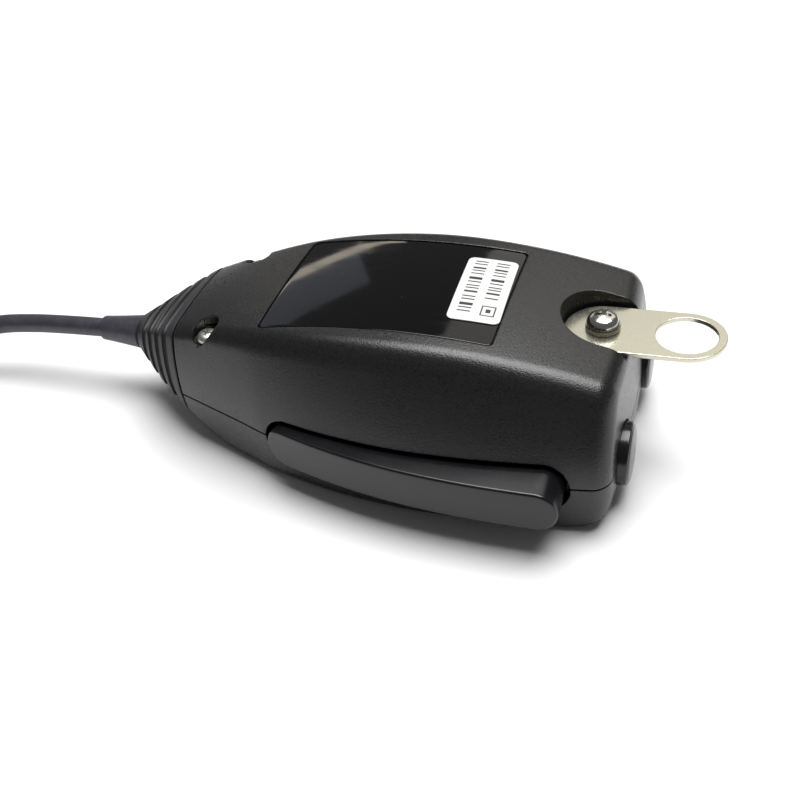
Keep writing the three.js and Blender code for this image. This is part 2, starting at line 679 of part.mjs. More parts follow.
/** Points of the flank's line at a distance inside (or outside, if negative), from start to end. */
function flankLine(x0, x1, inside, steps = 8) {
  return Array.from({ length: steps + 1 }, (_, k) => {
    const share = k / steps;
    const x = x0 + (x1 - x0) * share;
    return new THREE.Vector2(x, -(partingHalf(x) - inside(share)));
  });
}

function pttBar() {
  const outside = (share) => (PTT.proudStart - PTT.proudEnd) * share ** 1.25 - PTT.proudStart;
  const inside = () => CASE.wall + PTT.lipClear + 0.4;
  const outer = flankLine(PTT.start, PTT.end, outside);
  const inner = flankLine(PTT.start, PTT.end, inside);
  const plan = new THREE.Shape([...outer, ...inner.reverse()]);
  const bar = raised(plan, 0, CASE.height).intersect(sideways(slotShape(0), -CASE.width, 0));
  const lipIn = () => CASE.wall + PTT.lipClear + 0.4;
  const lipDeep = () => CASE.wall + PTT.lipClear + PTT.lipThickness;
  const lipPlan = new THREE.Shape([
    ...flankLine(PTT.end - 8, PTT.end + PTT.lipReach, lipIn, 3),
    ...flankLine(PTT.end - 8, PTT.end + PTT.lipReach, lipDeep, 3).reverse(),
  ]);
  const lip = raised(lipPlan, PTT.centre - PTT.lipHeight / 2, PTT.centre + PTT.lipHeight / 2);
  const bridge = new THREE.Shape([
    ...flankLine(PTT.end - 16, PTT.end - 5, () => 1, 3),
    ...flankLine(PTT.end - 16, PTT.end - 5, lipDeep, 3).reverse(),
  ]);
  const web = raised(bridge, PTT.centre - PTT.lipHeight / 2, PTT.centre + PTT.lipHeight / 2);
  const earLow = PTT.centre - PTT.height / 2 + 1;
  const earHigh = PTT.centre + PTT.height / 2 - 1;
  const ear = column(pivotX, pivotY, earLow, earHigh, PTT.earRadius);
  const arm = block(pivotX - PTT.earRadius, pivotX + PTT.earRadius, pivotY - PTT.pivotInset + 2, pivotY,
    earLow, earHigh);
  const bore = PTT.pinRadius + PTT.pinSlip;
  return cut(joined(bar, lip, web, ear, arm), column(pivotX, pivotY, 0, CASE.height, bore, bore, 24));
}

function pttPin() {
  return column(pivotX, pivotY, pinLow, pinHigh, PTT.pinRadius, PTT.pinRadius, 24);
}

/** The place of a point of the bar's inner side, as a distance from the bar's free end. */
function barInside(fromEnd) {
  const x = PTT.end - fromEnd;
  return [x, -(partingHalf(x) - CASE.wall - PTT.lipClear - 0.4)];
}

function springStop() {
  const [x] = barInside(PTT_SPRING.fromEnd);
  const near = boardNear - BOARD.pttClear;
  const half = PTT_SPRING.stopWidth / 2;
  const rib = block(x - half, x + half, near, near + PTT_SPRING.stopThickness, boardTop + 1, CASE.height);
  return rib.intersect(innerForm);
}

function pttSpring() {
  const [x, y] = barInside(PTT_SPRING.fromEnd);
  const start = y + GAP + PTT_SPRING.wire / 2;
  const end = boardNear - BOARD.pttClear - GAP - PTT_SPRING.wire / 2;
  const perTurn = 8;
  const last = PTT_SPRING.turns * perTurn;
  const points = Array.from({ length: last + 1 }, (_, k) => {
    const angle = (k / perTurn) * Math.PI * 2;
    return [
      x + PTT_SPRING.radius * Math.cos(angle),
      start + ((end - start) * k) / last,
      PTT_SPRING.height + PTT_SPRING.radius * Math.sin(angle),
    ];
  });
  return tube(points, PTT_SPRING.wire / 2, PTT_SPRING.turns * 10, 4);
}

function pttSwitch() {
  const [x, y] = barInside(PTT_SWITCH.fromEnd);
  const face = y + PTT_SWITCH.travel;
  const half = PTT_SWITCH.length / 2;
  const low = boardTop + SLIP;
  const body = block(x - half, x + half, face + PTT_SWITCH.reach, face + PTT_SWITCH.reach + PTT_SWITCH.width,
    low, low + PTT_SWITCH.height);
  const plunger = block(x - 1.2, x + 1.2, face, face + PTT_SWITCH.reach + 1, low + 1.4, low + 3.4);
  return body.add(plunger);
}

// ---------------------------------------------------------------- end buttons

/** The inside of the end wall, at the corner of a button's wings. */
function endInner() {
  return endFace(buttonY + BUTTON.radius + BUTTON.wing, BUTTON.height + BUTTON.wingHeight / 2, CASE.wall + GAP);
}

function endButton(side) {
  const y = side * buttonY;
  const face = endFace(buttonY, BUTTON.height, 0);
  const inner = endInner() - GAP - BUTTON.wingThickness;
  const cap = turned([
    [inner, 0], [inner, BUTTON.radius], [face + BUTTON.rise - 0.3, BUTTON.radius],
    [face + BUTTON.rise, BUTTON.radius - 0.35], [face + BUTTON.rise + BUTTON.dome * 0.7, BUTTON.radius * 0.5],
    [face + BUTTON.rise + BUTTON.dome, 0],
  ], 0, y, BUTTON.height, 24);
  const wingHalf = BUTTON.radius + BUTTON.wing;
  const wings = block(inner, inner + BUTTON.wingThickness, y - wingHalf, y + wingHalf,
    BUTTON.height - BUTTON.wingHeight / 2, BUTTON.height + BUTTON.wingHeight / 2);
  const stem = turned([[inner - 2, 0], [inner - 2, BUTTON.stemRadius], [inner + 0.5, BUTTON.stemRadius],
    [inner + 0.5, 0]], 0, y, BUTTON.height, 16);
  return joined(cap, wings, stem);
}

function endSwitch(side) {
  const y = side * buttonY;
  const tip = endInner() - GAP - BUTTON.wingThickness - 2 - BUTTON.travel - GAP;
  const front = tip - END_SWITCH.plunger;
  const low = boardTop + SLIP;
  const body = block(front - END_SWITCH.length, front, y - END_SWITCH.width / 2, y + END_SWITCH.width / 2,
    low, low + END_SWITCH.height);
  const half = END_SWITCH.plungerRadius;
  const plunger = block(front - 0.5, tip, y - half, y + half, BUTTON.height - half, BUTTON.height + half);
  return body.add(plunger);
}

// ---------------------------------------------------------------- cable, boot and clamp

/** Points round the boot, which goes from the case's section to a circle round the cable. */
function bootRing(share, draw) {
  const from = ring(seamX, 0, 0);
  const eased = share * (1 - BOOT.fullness + BOOT.fullness * share);
  const x = seamX - GAP - share * (BOOT.length - GAP);
  return from.map((p) => {
    const side = new THREE.Vector2(p.y, p.z - CABLE.height);
    const reach = side.length();
    const wanted = THREE.MathUtils.lerp(reach, CABLE.radius + BOOT.tipWall, eased) - draw;
    side.multiplyScalar(wanted / reach);
    return new THREE.Vector3(x, side.x, CABLE.height + side.y);
  });
}

function cableBoot() {
  const rings = [bootRing(1, 0.5), bootRing(1 - 0.4 / BOOT.length, 0)];
  for (let k = BOOT.grooves - 1; k >= 0; k -= 1) {
    const middle = BOOT.firstGroove + k * BOOT.groovePitch;
    const half = BOOT.grooveWidth / 2;
    rings.push(
      bootRing((middle + half) / BOOT.length, 0),
      bootRing(middle / BOOT.length, BOOT.grooveDepth),
      bootRing((middle - half) / BOOT.length, 0),
    );
  }
  rings.push(bootRing(0.4 / BOOT.length, 0), bootRing(0, 0.5));
  const inside = seamX + CASE.wall + GAP;
  const neck = block(seamX - GAP - 1, inside + BOOT.flangeThickness, -BOOT.neckHalf, BOOT.neckHalf,
    CABLE.height - BOOT.neckHeight / 2, CABLE.height + BOOT.neckHeight / 2);
  const flange = block(inside, inside + BOOT.flangeThickness, -BOOT.flangeHalf, BOOT.flangeHalf,
    CABLE.height - BOOT.flangeHeight / 2, CABLE.height + BOOT.flangeHeight / 2);
  const bore = CABLE.radius + BOOT.bore;
  const hole = turned([[-60, 0], [-60, bore], [20, bore], [20, 0]], seamX, 0, CABLE.height, 16);
  return joined(lofted(rings), neck, flange).subtract(hole);
}

/** The tapered sleeve moulded on the cable just outside the boot. */
function cableSleeve() {
  const tip = CABLE.radius + SLEEVE.tipWall;
  const bore = CABLE.radius + BOOT.bore;
  const body = turned([
    [sleeveEnd, 0], [sleeveEnd, tip - SLEEVE.lip], [sleeveEnd + SLEEVE.lip, tip],
    [bootEnd - GAP, CABLE.radius + SLEEVE.baseWall], [bootEnd - GAP, 0],
  ], 0, 0, CABLE.height, 20);
  return body.subtract(turned([[sleeveEnd - 1, 0], [sleeveEnd - 1, bore], [bootEnd + 1, bore], [bootEnd + 1, 0]],
    0, 0, CABLE.height, 16));
}

function cableCore() {
  const stop = seamX + CABLE.coreEnd;
  return turned([[sleeveEnd + GAP, 0], [sleeveEnd + GAP, CABLE.radius], [stop, CABLE.radius], [stop, 0]],
    0, 0, CABLE.height, 16);
}

function cableClamp() {
  const seat = CABLE.height + CABLE.radius + SLIP;
  const half = CLAMP.width / 2;
  const bar = block(clampX - CLAMP.depth / 2, clampX + CLAMP.depth / 2, -half, half, seat,
    seat + CLAMP.thickness);
  return cut(bar, ...[-1, 1].map((side) => column(clampX, side * CLAMP.screwHalf, seat - 1,
    seat + CLAMP.thickness + 1, CLAMP.screwRadius + GAP, CLAMP.screwRadius + GAP, 12)));
}

function clampScrew(side) {
  return screw(clampX, side * CLAMP.screwHalf, CABLE.height + CABLE.radius + CLAMP.thickness + 2 * SLIP, {
    head: CLAMP.screwHead, headHeight: CLAMP.screwHeadHeight, radius: CLAMP.screwRadius,
    length: CLAMP.screwLength,
  });
}

function wireBundle() {
  const start = seamX + CABLE.coreEnd + GAP;
  const end = padStart + CONNECTOR.fromPad;
  const down = boardTop + CONNECTOR.height - 1.5;
  return tube([[start, 0, CABLE.height], [start + 2.5, 0, CABLE.height - 0.4], [end - 5, 0, down + 1.4],
    [end - 1, 0, down], [end, 0, down]], 1.4, 8, 6);
}

function boardConnector() {
  const start = padStart + CONNECTOR.fromPad + GAP;
  return block(start, start + CONNECTOR.length, -CONNECTOR.width / 2, CONNECTOR.width / 2, boardTop + SLIP,
    boardTop + SLIP + CONNECTOR.height);
}

function toneChip() {
  const start = padEnd - CHIP.length - CHIP.fromPadEnd;
  return block(start, start + CHIP.length, -CHIP.width / 2, CHIP.width / 2, boardTop + SLIP,
    boardTop + SLIP + CHIP.height);
}

// ---------------------------------------------------------------- the free cord and its plug

const coilZ = COIL.radius + SLIP;
const coilFar = COIL.x - COIL.leg;
const secondLegY = COIL.y + 2 * COIL.turn;
const leadPoints = [
  [CORD_EXIT[0] - GAP, 0, 15.5], [-104, 0, 15.1], [-114, 0, 14.4], [-124, -0.8, 13.4], [-134, -4, 11.8],
  [-144, -10, 9.6], [-152, -16.4, 8], [-158, -19.5, 7.2], [-161, -20, 7.05], [COIL.x + GAP, COIL.y, coilZ],
];
const tailPoints = [
  [COIL.x + GAP, secondLegY, coilZ], [-161, 24, 7], [-156, 23.4, 5.6], [-150.4, 20.8, 3.6], [-145.8, 15.4, 2.7],
  [-145.6, 8.8, 3], [-149.6, 3.8, 5], [-155, 2.1, 7.6], [-161, 2, 9.2], [-163.7, 2, 9.25],
];

/** The middle line of the curly part: out along one leg, round a half turn and back along the other. */
function coilPath() {
  const points = [new THREE.Vector3(COIL.x, COIL.y, coilZ)];
  const steps = 10;
  for (let k = 0; k <= steps; k += 1) {
    const angle = (Math.PI * k) / steps;
    points.push(new THREE.Vector3(coilFar - COIL.turn * Math.sin(angle),
      COIL.y + COIL.turn * (1 - Math.cos(angle)), coilZ));
  }
  points.push(new THREE.Vector3(COIL.x, secondLegY, coilZ));
  const path = new THREE.CurvePath();
  for (let k = 1; k < points.length; k += 1) path.add(new THREE.LineCurve3(points[k - 1], points[k]));
  return path;
}

function cordCoil() {
  const section = new THREE.Shape();
  section.absarc(0, 0, COIL.radius, 0, Math.PI * 2);
  return solid(new THREE.ExtrudeGeometry(section, {
    steps: 22, extrudePath: coilPath(), bevelEnabled: false, curveSegments: 5,
  }));
}

const plugX = tailPoints[tailPoints.length - 1][0] - GAP;
const plugY = tailPoints[tailPoints.length - 1][1];
const plugZ = PLUG.ringRadius + SLIP;

/** A body of revolution on the plug's line, with places counted from the plug's tail, away from it. */
function onPlug(points, sides = 24) {
  const profile = points.map(([along, radius]) => [-along, radius]).reverse();
  return turned(profile, plugX, plugY, plugZ, sides);
}

function plugBoot() {
  return onPlug([[0, 0], [0, CABLE.radius + PLUG.bootWall], [PLUG.bootLength, PLUG.bootBase], [PLUG.bootLength, 0]]);
}

const shellStart = PLUG.bootLength + GAP;
const shellEnd = shellStart + PLUG.shellLength;
const ringStart = shellEnd - PLUG.ringLap;
const ringEnd = ringStart + PLUG.ringLength;

function plugShell() {
  return onPlug([
    [shellStart, 0], [shellStart, PLUG.bootBase], [shellStart + 1.5, PLUG.shellRadius],
    [ringStart - GAP, PLUG.shellRadius], [ringStart - GAP, PLUG.insertRadius], [shellEnd, PLUG.insertRadius],
    [shellEnd, 0],
  ]);
}

function plugRing() {
  return onPlug([
    [ringStart, PLUG.ringBore], [ringStart, PLUG.ringRadius], [ringEnd - 1, PLUG.ringRadius],
    [ringEnd, PLUG.ringRadius - 0.8], [ringEnd, PLUG.ringBore], [ringStart, PLUG.ringBore],
  ], 28);
}

function plugInsert() {
  const start = shellEnd + GAP;
  return onPlug([[start, 0], [start, PLUG.insertRadius], [ringEnd - PLUG.insertDepth, PLUG.insertRadius],
    [ringEnd - PLUG.insertDepth, 0]]);
}

// ---------------------------------------------------------------- finishes and assembly

const finishes = {
  case_plastic: { color: 0x18191b, roughness: 0.55, metalness: 0 },
  gloss_plastic: { color: 0x050505, roughness: 0.06, metalness: 0 },
  satin_plastic: { color: 0x131416, roughness: 0.38, metalness: 0 },
  key_rubber: { color: 0x6a6d70, roughness: 0.6, metalness: 0 },
  boot_rubber: { color: 0x1b1d1f, roughness: 0.6, metalness: 0 },
  cable_jacket: { color: 0x2c3036, roughness: 0.5, metalness: 0 },
  nickel: { color: 0xc9c2b4, roughness: 0.22, metalness: 1 },
  zinc_screw: { color: 0xa9a9a6, roughness: 0.3, metalness: 1 },
  label_film: { color: 0xf2f1ec, roughness: 0.4, metalness: 0 },
  circuit_board: { color: 0x1d4a2c, roughness: 0.5, metalness: 0 },
  component: { color: 0x202124, roughness: 0.45, metalness: 0 },
  bare_metal: { color: 0xb7b9bb, roughness: 0.3, metalness: 1 },
  cloth: { color: 0x0c0c0d, roughness: 0.9, metalness: 0 },
};

const microphone = new THREE.Group();
const body = new THREE.Group();
body.position.set(-originX, 0, 0);
const cord = new THREE.Group();
cord.position.set(sleeveEnd - originX - CORD_EXIT[0], 0, CABLE.height - CORD_EXIT[2]);
microphone.add(body, cord);

function place(group, name, finish, shape) {
  const mesh = new THREE.Mesh(geometryOf(shape), new THREE.MeshStandardMaterial(finishes[finish]));
  mesh.name = name;
  group.add(mesh);
}

place(body, 'rear_shell', 'case_plastic', rearShell());
place(body, 'rear_panel', 'gloss_plastic', rearPanel());
place(body, 'data_label', 'label_film', dataLabel());
place(body, 'hanger_tab', 'nickel', hangerTab());
place(body, 'hanger_washer', 'nickel', hangerWasher());
place(body, 'hanger_screw', 'nickel', hangerScrew());
place(body, 'front_shell', 'case_plastic', frontShell());
place(body, 'key_mat', 'key_rubber', keyMat());
place(body, 'main_board', 'circuit_board', mainBoard());
place(body, 'board_connector', 'component', boardConnector());
place(body, 'tone_chip', 'component', toneChip());
place(body, 'wire_bundle', 'cable_jacket', wireBundle());
place(body, 'sound_cloth', 'cloth', soundCloth());
place(body, 'mic_gasket', 'boot_rubber', micGasket());
place(body, 'mic_capsule', 'bare_metal', micCapsule());
place(body, 'ptt_bar', 'satin_plastic', pttBar());
place(body, 'ptt_pin', 'bare_metal', pttPin());
place(body, 'ptt_spring', 'bare_metal', pttSpring());
place(body, 'ptt_switch', 'component', pttSwitch());
place(body, 'cable_boot', 'boot_rubber', cableBoot());
place(body, 'cable_sleeve', 'cable_jacket', cableSleeve());
place(body, 'cable_core', 'cable_jacket', cableCore());
place(body, 'cable_clamp', 'bare_metal', cableClamp());
for (const [side, name] of [[-1, 'near'], [1, 'far']]) {
  place(body, `case_screw_${name}`, 'zinc_screw', caseScrew(side));
  place(body, `clamp_screw_${name}`, 'zinc_screw', clampScrew(side));
}
for (const [side, name] of [[-1, 'up'], [1, 'down']]) {
  place(body, `${name}_button`, 'satin_plastic', endButton(side));
  place(body, `${name}_switch`, 'component', endSwitch(side));
}
boardScrewPlaces().forEach((at, k) => place(body, `board_screw_${k + 1}`, 'zinc_screw', boardScrew(at)));
for (let row = 0; row < KEY.rows; row += 1) {
  for (let line = 0; line < KEY.columns; line += 1) {
    place(body, `key_${row + 1}_${line + 1}`, 'key_rubber', key(row, line));
  }
}
place(cord, 'cord_lead', 'cable_jacket', tube(leadPoints, CABLE.radius, 12));
place(cord, 'cord_coil', 'cable_jacket', cordCoil());
place(cord, 'cord_tail', 'cable_jacket', tube(tailPoints, CABLE.radius, 12));
place(cord, 'plug_boot', 'boot_rubber', plugBoot());
place(cord, 'plug_shell', 'nickel', plugShell());
place(cord, 'plug_ring', 'nickel', plugRing());
place(cord, 'plug_insert', 'component', plugInsert());

export default microphone;
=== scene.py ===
"""Hand microphone: the finished shells, controls, cord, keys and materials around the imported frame.

The microphone lies face down. +X runs from the cable end to the top end, +Z is out of the rear cover
and the press-to-talk bar is on the -Y side. Sizes are in millimetres and turned into metres with MM.
"""

import logging
import math
from dataclasses import dataclass, field
from enum import Enum
from typing import Callable, Iterable, Sequence

import bmesh
import bpy
from mathutils import Matrix, Vector


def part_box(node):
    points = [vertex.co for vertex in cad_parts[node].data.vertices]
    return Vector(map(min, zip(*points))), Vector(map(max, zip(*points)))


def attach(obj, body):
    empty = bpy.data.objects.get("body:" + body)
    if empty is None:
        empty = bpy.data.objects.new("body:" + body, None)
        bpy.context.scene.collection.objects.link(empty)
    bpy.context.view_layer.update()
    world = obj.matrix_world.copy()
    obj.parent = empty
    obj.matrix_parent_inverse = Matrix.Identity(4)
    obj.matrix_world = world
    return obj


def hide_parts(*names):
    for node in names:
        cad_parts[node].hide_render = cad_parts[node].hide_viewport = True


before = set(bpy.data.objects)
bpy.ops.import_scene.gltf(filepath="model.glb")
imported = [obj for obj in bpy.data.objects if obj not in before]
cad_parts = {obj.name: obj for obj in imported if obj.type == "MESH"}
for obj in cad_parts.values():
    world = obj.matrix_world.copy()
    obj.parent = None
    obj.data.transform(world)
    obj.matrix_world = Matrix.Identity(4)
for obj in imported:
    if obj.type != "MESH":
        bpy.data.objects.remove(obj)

MM = 0.001
log = logging.getLogger("microphone")

Point2 = tuple[float, float]
Point3 = tuple[float, float, float]
Colour = tuple[float, float, float]
Piece = bpy.types.Object
Value = "Wire | float"


class Axis(Enum):
    """The line that a round piece is turned about."""

    X = "X"
    Y = "Y"
    Z = "Z"


class Cut(Enum):
    """How one body changes another."""

    TAKE = "DIFFERENCE"
    JOIN = "UNION"
    KEEP = "INTERSECT"


class Slot(Enum):
    """The material slots of the record."""

    CASE = "case_plastic"
    GLOSS = "gloss_plastic"
    SATIN = "satin_plastic"
    KEY = "key_rubber"
    BOOT = "boot_rubber"
    JACKET = "cable_jacket"
    NICKEL = "nickel"
    SCREW = "zinc_screw"
    LABEL = "label_film"
    BOARD = "circuit_board"
    COMPONENT = "component"
    METAL = "bare_metal"
    CLOTH = "cloth"


# -------- shader expressions


@dataclass
class Wire:
    """A shader socket that takes part in Python expressions."""

    graph: "Graph"
    socket: bpy.types.NodeSocket

    def _with(self, operation: str, first: Value, second: Value) -> "Wire":
        """Returns the outcome of one Math node."""
        return self.graph.node("ShaderNodeMath", {"operation": operation}, {0: first, 1: second})

    def __add__(self, other: Value) -> "Wire":
        """Returns self + other."""
        return self._with("ADD", self, other)

    def __radd__(self, other: Value) -> "Wire":
        """Returns other + self."""
        return self._with("ADD", other, self)

    def __sub__(self, other: Value) -> "Wire":
        """Returns self - other."""
        return self._with("SUBTRACT", self, other)

    def __rsub__(self, other: Value) -> "Wire":
        """Returns other - self."""
        return self._with("SUBTRACT", other, self)

    def __mul__(self, other: Value) -> "Wire":
        """Returns self * other."""
        return self._with("MULTIPLY", self, other)

    def __rmul__(self, other: Value) -> "Wire":
        """Returns other * self."""
        return self._with("MULTIPLY", other, self)


class Graph:
    """The node tree of one material."""

    def __init__(self, name: str) -> None:
        """Starts an empty material.

        Args:
            name: The material's name.
        """
        self.material = bpy.data.materials.new(name)
        self.material.use_nodes = True
        self.tree = self.material.node_tree
        self.tree.nodes.clear()

    def node(self, kind: str, settings: dict | None = None, sockets: dict | None = None,
             out: int | str = 0) -> Wire:
        """Adds any node.

        Args:
            kind: The node's type.
            settings: Its own settings.
            sockets: Values or wires for its sockets, by name or number.
            out: The output that is wanted.

        Returns:
            The wanted output.
        """
        made = self.tree.nodes.new(kind)
        for name, value in (settings or {}).items():
            setattr(made, name, value)
        for key, value in (sockets or {}).items():
            if isinstance(value, Wire):
                self.tree.links.new(value.socket, made.inputs[key])
            else:
                made.inputs[key].default_value = value
        return Wire(self, made.outputs[out])

    def place(self) -> Wire:
        """Returns where a point of the surface is, in metres."""
        return self.node("ShaderNodeTexCoord", out="Object")

    def stretched(self, scale: Point3, turn: Point3 = (0, 0, 0), centre: Point3 = (0, 0, 0)) -> Wire:
        """Returns the place, counted from a centre, turned and stretched.

        Args:
            scale: How much each direction is multiplied.
            turn: Angles in radians.
            centre: The place that becomes the middle, in metres.

        Returns:
            The new coordinates.
        """
        moved = self.node("ShaderNodeVectorMath", {"operation": "SUBTRACT"}, {0: self.place(), 1: centre})
        return self.node("ShaderNodeMapping", {"vector_type": "POINT"},
                         {"Vector": moved, "Rotation": turn, "Scale": scale})

    def noise(self, size: float, detail: float = 2.0, at: Wire | None = None, rough: float = 0.5) -> Wire:
        """Returns soft noise from 0 to 1.

        Args:
            size: How long one lump is, in millimetres, or in units of at.
            detail: How many finer layers it has.
            at: The coordinates, if not the plain place.
            rough: How strong the finer layers are.
        """
        scale = 1 / size if at else 1 / (size * MM)
        return self.node("ShaderNodeTexNoise", None, {"Vector": at or self.place(), "Scale": scale,
                                                      "Detail": detail, "Roughness": rough})

    def cells(self, size: float) -> Wire:
        """Returns the distance to the nearest of many scattered points, size millimetres apart."""
        return self.node("ShaderNodeTexVoronoi", None, {"Vector": self.place(), "Scale": 1 / (size * MM)},
                         "Distance")

    def band(self, source: Wire, low: float, high: float) -> Wire:
        """Returns source spread from 0 at low to 1 at high, smoothly."""
        return self.node("ShaderNodeMapRange", {"interpolation_type": "SMOOTHSTEP"},
                         {"Value": source, "From Min": low, "From Max": high})

    def blend(self, share: Value, first: Colour | Wire, second: Colour | Wire) -> Wire:
        """Returns a colour between two.

        Args:
            share: How much of the second there is.
            first: The first colour.
            second: The second colour.
        """
        ends = [c if isinstance(c, Wire) else (*c, 1.0) for c in (first, second)]
        return self.node("ShaderNodeMix", {"data_type": "RGBA"}, {0: share, 6: ends[0], 7: ends[1]}, 2)

    def relief(self, height: Wire, depth: float, strength: float = 1.0) -> Wire:
        """Returns the normals of a surface with relief.

        Args:
            height: The relief from 0 to 1.
            depth: Its full depth in millimetres.
            strength: How much of it shows.
        """
        return self.node("ShaderNodeBump", None, {"Height": height, "Distance": depth * MM,
                                                  "Strength": strength})

    def finish(self, **sockets: object) -> bpy.types.Material:
        """Closes the tree with a surface.

        Args:
            **sockets: The surface's own sockets, with _ for a space.

        Returns:
            The finished material.
        """
        named = {name.replace("_", " "): value for name, value in sockets.items()}
        surface = self.node("ShaderNodeBsdfPrincipled", None, named)
        self.node_out(surface)
        return self.material

    def node_out(self, surface: Wire) -> None:
        """Leads a surface to the material's output."""
        end = self.tree.nodes.new("ShaderNodeOutputMaterial")
        self.tree.links.new(surface.socket, end.inputs["Surface"])


# -------- finishes


@dataclass(frozen=True)
class Moulded:
    """A moulded plastic or rubber with a grain, faint mottling and rubbed high spots."""

    name: str
    colour: Colour
    rubbed: Colour
    roughness: float
    spread: float = 0.08
    grain: float = 0.3
    depth: float = 0.01
    strength: float = 0.6

    def make(self) -> bpy.types.Material:
        """Returns the material."""
        g = Graph(self.name)
        mottle = g.noise(9.0, 3.0)
        fine = g.noise(self.grain, 3.0, rough=0.65)
        shade = g.band(mottle * 0.6 + fine * 0.4, 0.35, 0.72)
        rough = self.roughness + (mottle - 0.5) * self.spread * 1.6 + (fine - 0.5) * self.spread
        return g.finish(
            Base_Color=g.blend(shade, self.colour, self.rubbed),
            Roughness=rough,
            Normal=g.relief(fine, self.depth, self.strength),
        )


@dataclass(frozen=True)
class SparkTextured:
    """Black plastic from a spark-eroded mould: packed tiny domes that glint on the rounded edges, with a
    painted glint that makes the dome tops lighter in the colour.
    """

    name: str
    colour: Colour = (0.0048, 0.0048, 0.0050)
    # The painted glint colour of the dome tops.
    painted_glint: Colour = (0.013, 0.013, 0.0132)
    roughness: float = 0.30
    grain: float = 0.34
    depth: float = 0.045

    def make(self) -> bpy.types.Material:
        """Returns the material."""
        g = Graph(self.name)
        domes = g.band(g.cells(self.grain), 0.05, 0.75)
        ripple = g.noise(self.grain * 1.7, 3.0, rough=0.6)
        height = domes * 0.55 + ripple * 0.75
        mottle = g.noise(14.0, 2.0)
        rough = self.roughness + (ripple - 0.5) * 0.22 + (mottle - 0.5) * 0.10
        return g.finish(
            # Painted glint: the colour turns lighter on the dome tops, where the relief is high.
            Base_Color=g.blend(g.band(height, 0.35, 0.95), self.colour, self.painted_glint),
            Roughness=rough,
            Specular_IOR_Level=0.52,
            Normal=g.relief(height, self.depth, 0.75),
        )


@dataclass(frozen=True)
class Polished:
    """Mirror-black acrylic with faint wipe marks, a few fine scratches and specks of dust."""

    name: str
    colour: Colour = (0.0025, 0.0025, 0.003)
    dust: Colour = (0.030, 0.030, 0.032)
    roughness: float = 0.06

    def make(self) -> bpy.types.Material:
        """Returns the material."""
        g = Graph(self.name)
        wipe = g.noise(1.0, 2.0, at=g.stretched((90, 420, 200), turn=(0, 0, 0.5)))
        scratch = g.noise(1.0, 1.0, at=g.stretched((60, 5200, 400), turn=(0, 0, -0.35)))
        marks = g.band(scratch, 0.66, 0.72) * g.band(wipe, 0.45, 0.7)
        specks = 1 - g.band(g.cells(3.4), 0.015, 0.05)
        wave = g.noise(16.0, 1.0)
        return g.finish(
            Base_Color=g.blend(specks * 0.8, self.colour, self.dust),
            Roughness=self.roughness + g.band(wipe, 0.4, 0.8) * 0.035 + marks * 0.15 + specks * 0.4,
            Normal=g.relief(wave, 0.10, 0.35),
        )


@dataclass(frozen=True)
class Brushed:
    """Plated or bare metal with the marks that its making left along one line or round a centre."""

    name: str
    colour: Colour
    dull: Colour
    roughness: float
    grain: Point3 = (300, 9000, 2500)
    depth: float = 0.004
    centre: Point3 | None = None

    def make(self) -> bpy.types.Material:
        """Returns the material."""
        g = Graph(self.name)
        lines = g.noise(1.0, 3.0, at=self._along(g))
        cloud = g.noise(3.0, 3.0)
        pits = 1 - g.band(g.cells(0.9), 0.05, 0.16)
        rough = self.roughness + (lines - 0.5) * 0.10 + (cloud - 0.5) * 0.14 + pits * 0.10
        return g.finish(
            Base_Color=g.blend(g.band(cloud * 0.6 + lines * 0.4, 0.35, 0.7), self.colour, self.dull),
            Metallic=1.0,
            Roughness=rough,
            Normal=g.relief(lines - pits * 0.4, self.depth, 0.5),
        )

    def _along(self, g: Graph) -> Wire:
        """Returns coordinates that are drawn out along the marks.

        Args:
            g: The material's tree.
        """
        if self.centre is None:
            return g.stretched(self.grain)
        away = g.node("ShaderNodeVectorMath", {"operation": "DISTANCE"},
                      {0: g.place(), 1: self.centre}, "Value")
        return g.node("ShaderNodeCombineXYZ", None, {"X": away * 9000.0})


@dataclass(frozen=True)
class Jacket:
    """The cord's jacket: satin blue-grey vinyl with drawn-out flow marks and slight scuffs."""

    name: str
    colour: Colour = (0.042, 0.041, 0.053)
    scuffed: Colour = (0.062, 0.060, 0.073)

    def make(self) -> bpy.types.Material:
        """Returns the material."""
        g = Graph(self.name)
        flow = g.noise(1.0, 2.0, at=g.stretched((350, 2600, 2600)))
        scuff = g.noise(2.2, 4.0, rough=0.6)
        fine = g.noise(0.22, 2.0)
        return g.finish(
            Base_Color=g.blend(g.band(scuff, 0.4, 0.75), self.colour, self.scuffed),
            Roughness=0.36 + (flow - 0.5) * 0.12 + (scuff - 0.5) * 0.12,
            Normal=g.relief(flow * 0.6 + fine * 0.4, 0.02, 0.5),
        )


@dataclass(frozen=True)
class Film:
    """The label's white film, with faint fibres and slightly yellowed patches."""

    name: str
    colour: Colour = (0.74, 0.74, 0.725)
    aged: Colour = (0.66, 0.655, 0.63)
    roughness: float = 0.42

    def make(self) -> bpy.types.Material:
        """Returns the material."""
        g = Graph(self.name)
        fibre = g.noise(1.0, 3.0, at=g.stretched((900, 4200, 1000), turn=(0, 0, 0.6)))
        patch = g.noise(6.0, 2.0)
        return g.finish(
            Base_Color=g.blend(g.band(patch * 0.7 + fibre * 0.3, 0.42, 0.75), self.colour, self.aged),
            Roughness=self.roughness + (fibre - 0.5) * 0.1,
            Normal=g.relief(fibre, 0.006, 0.4),
        )


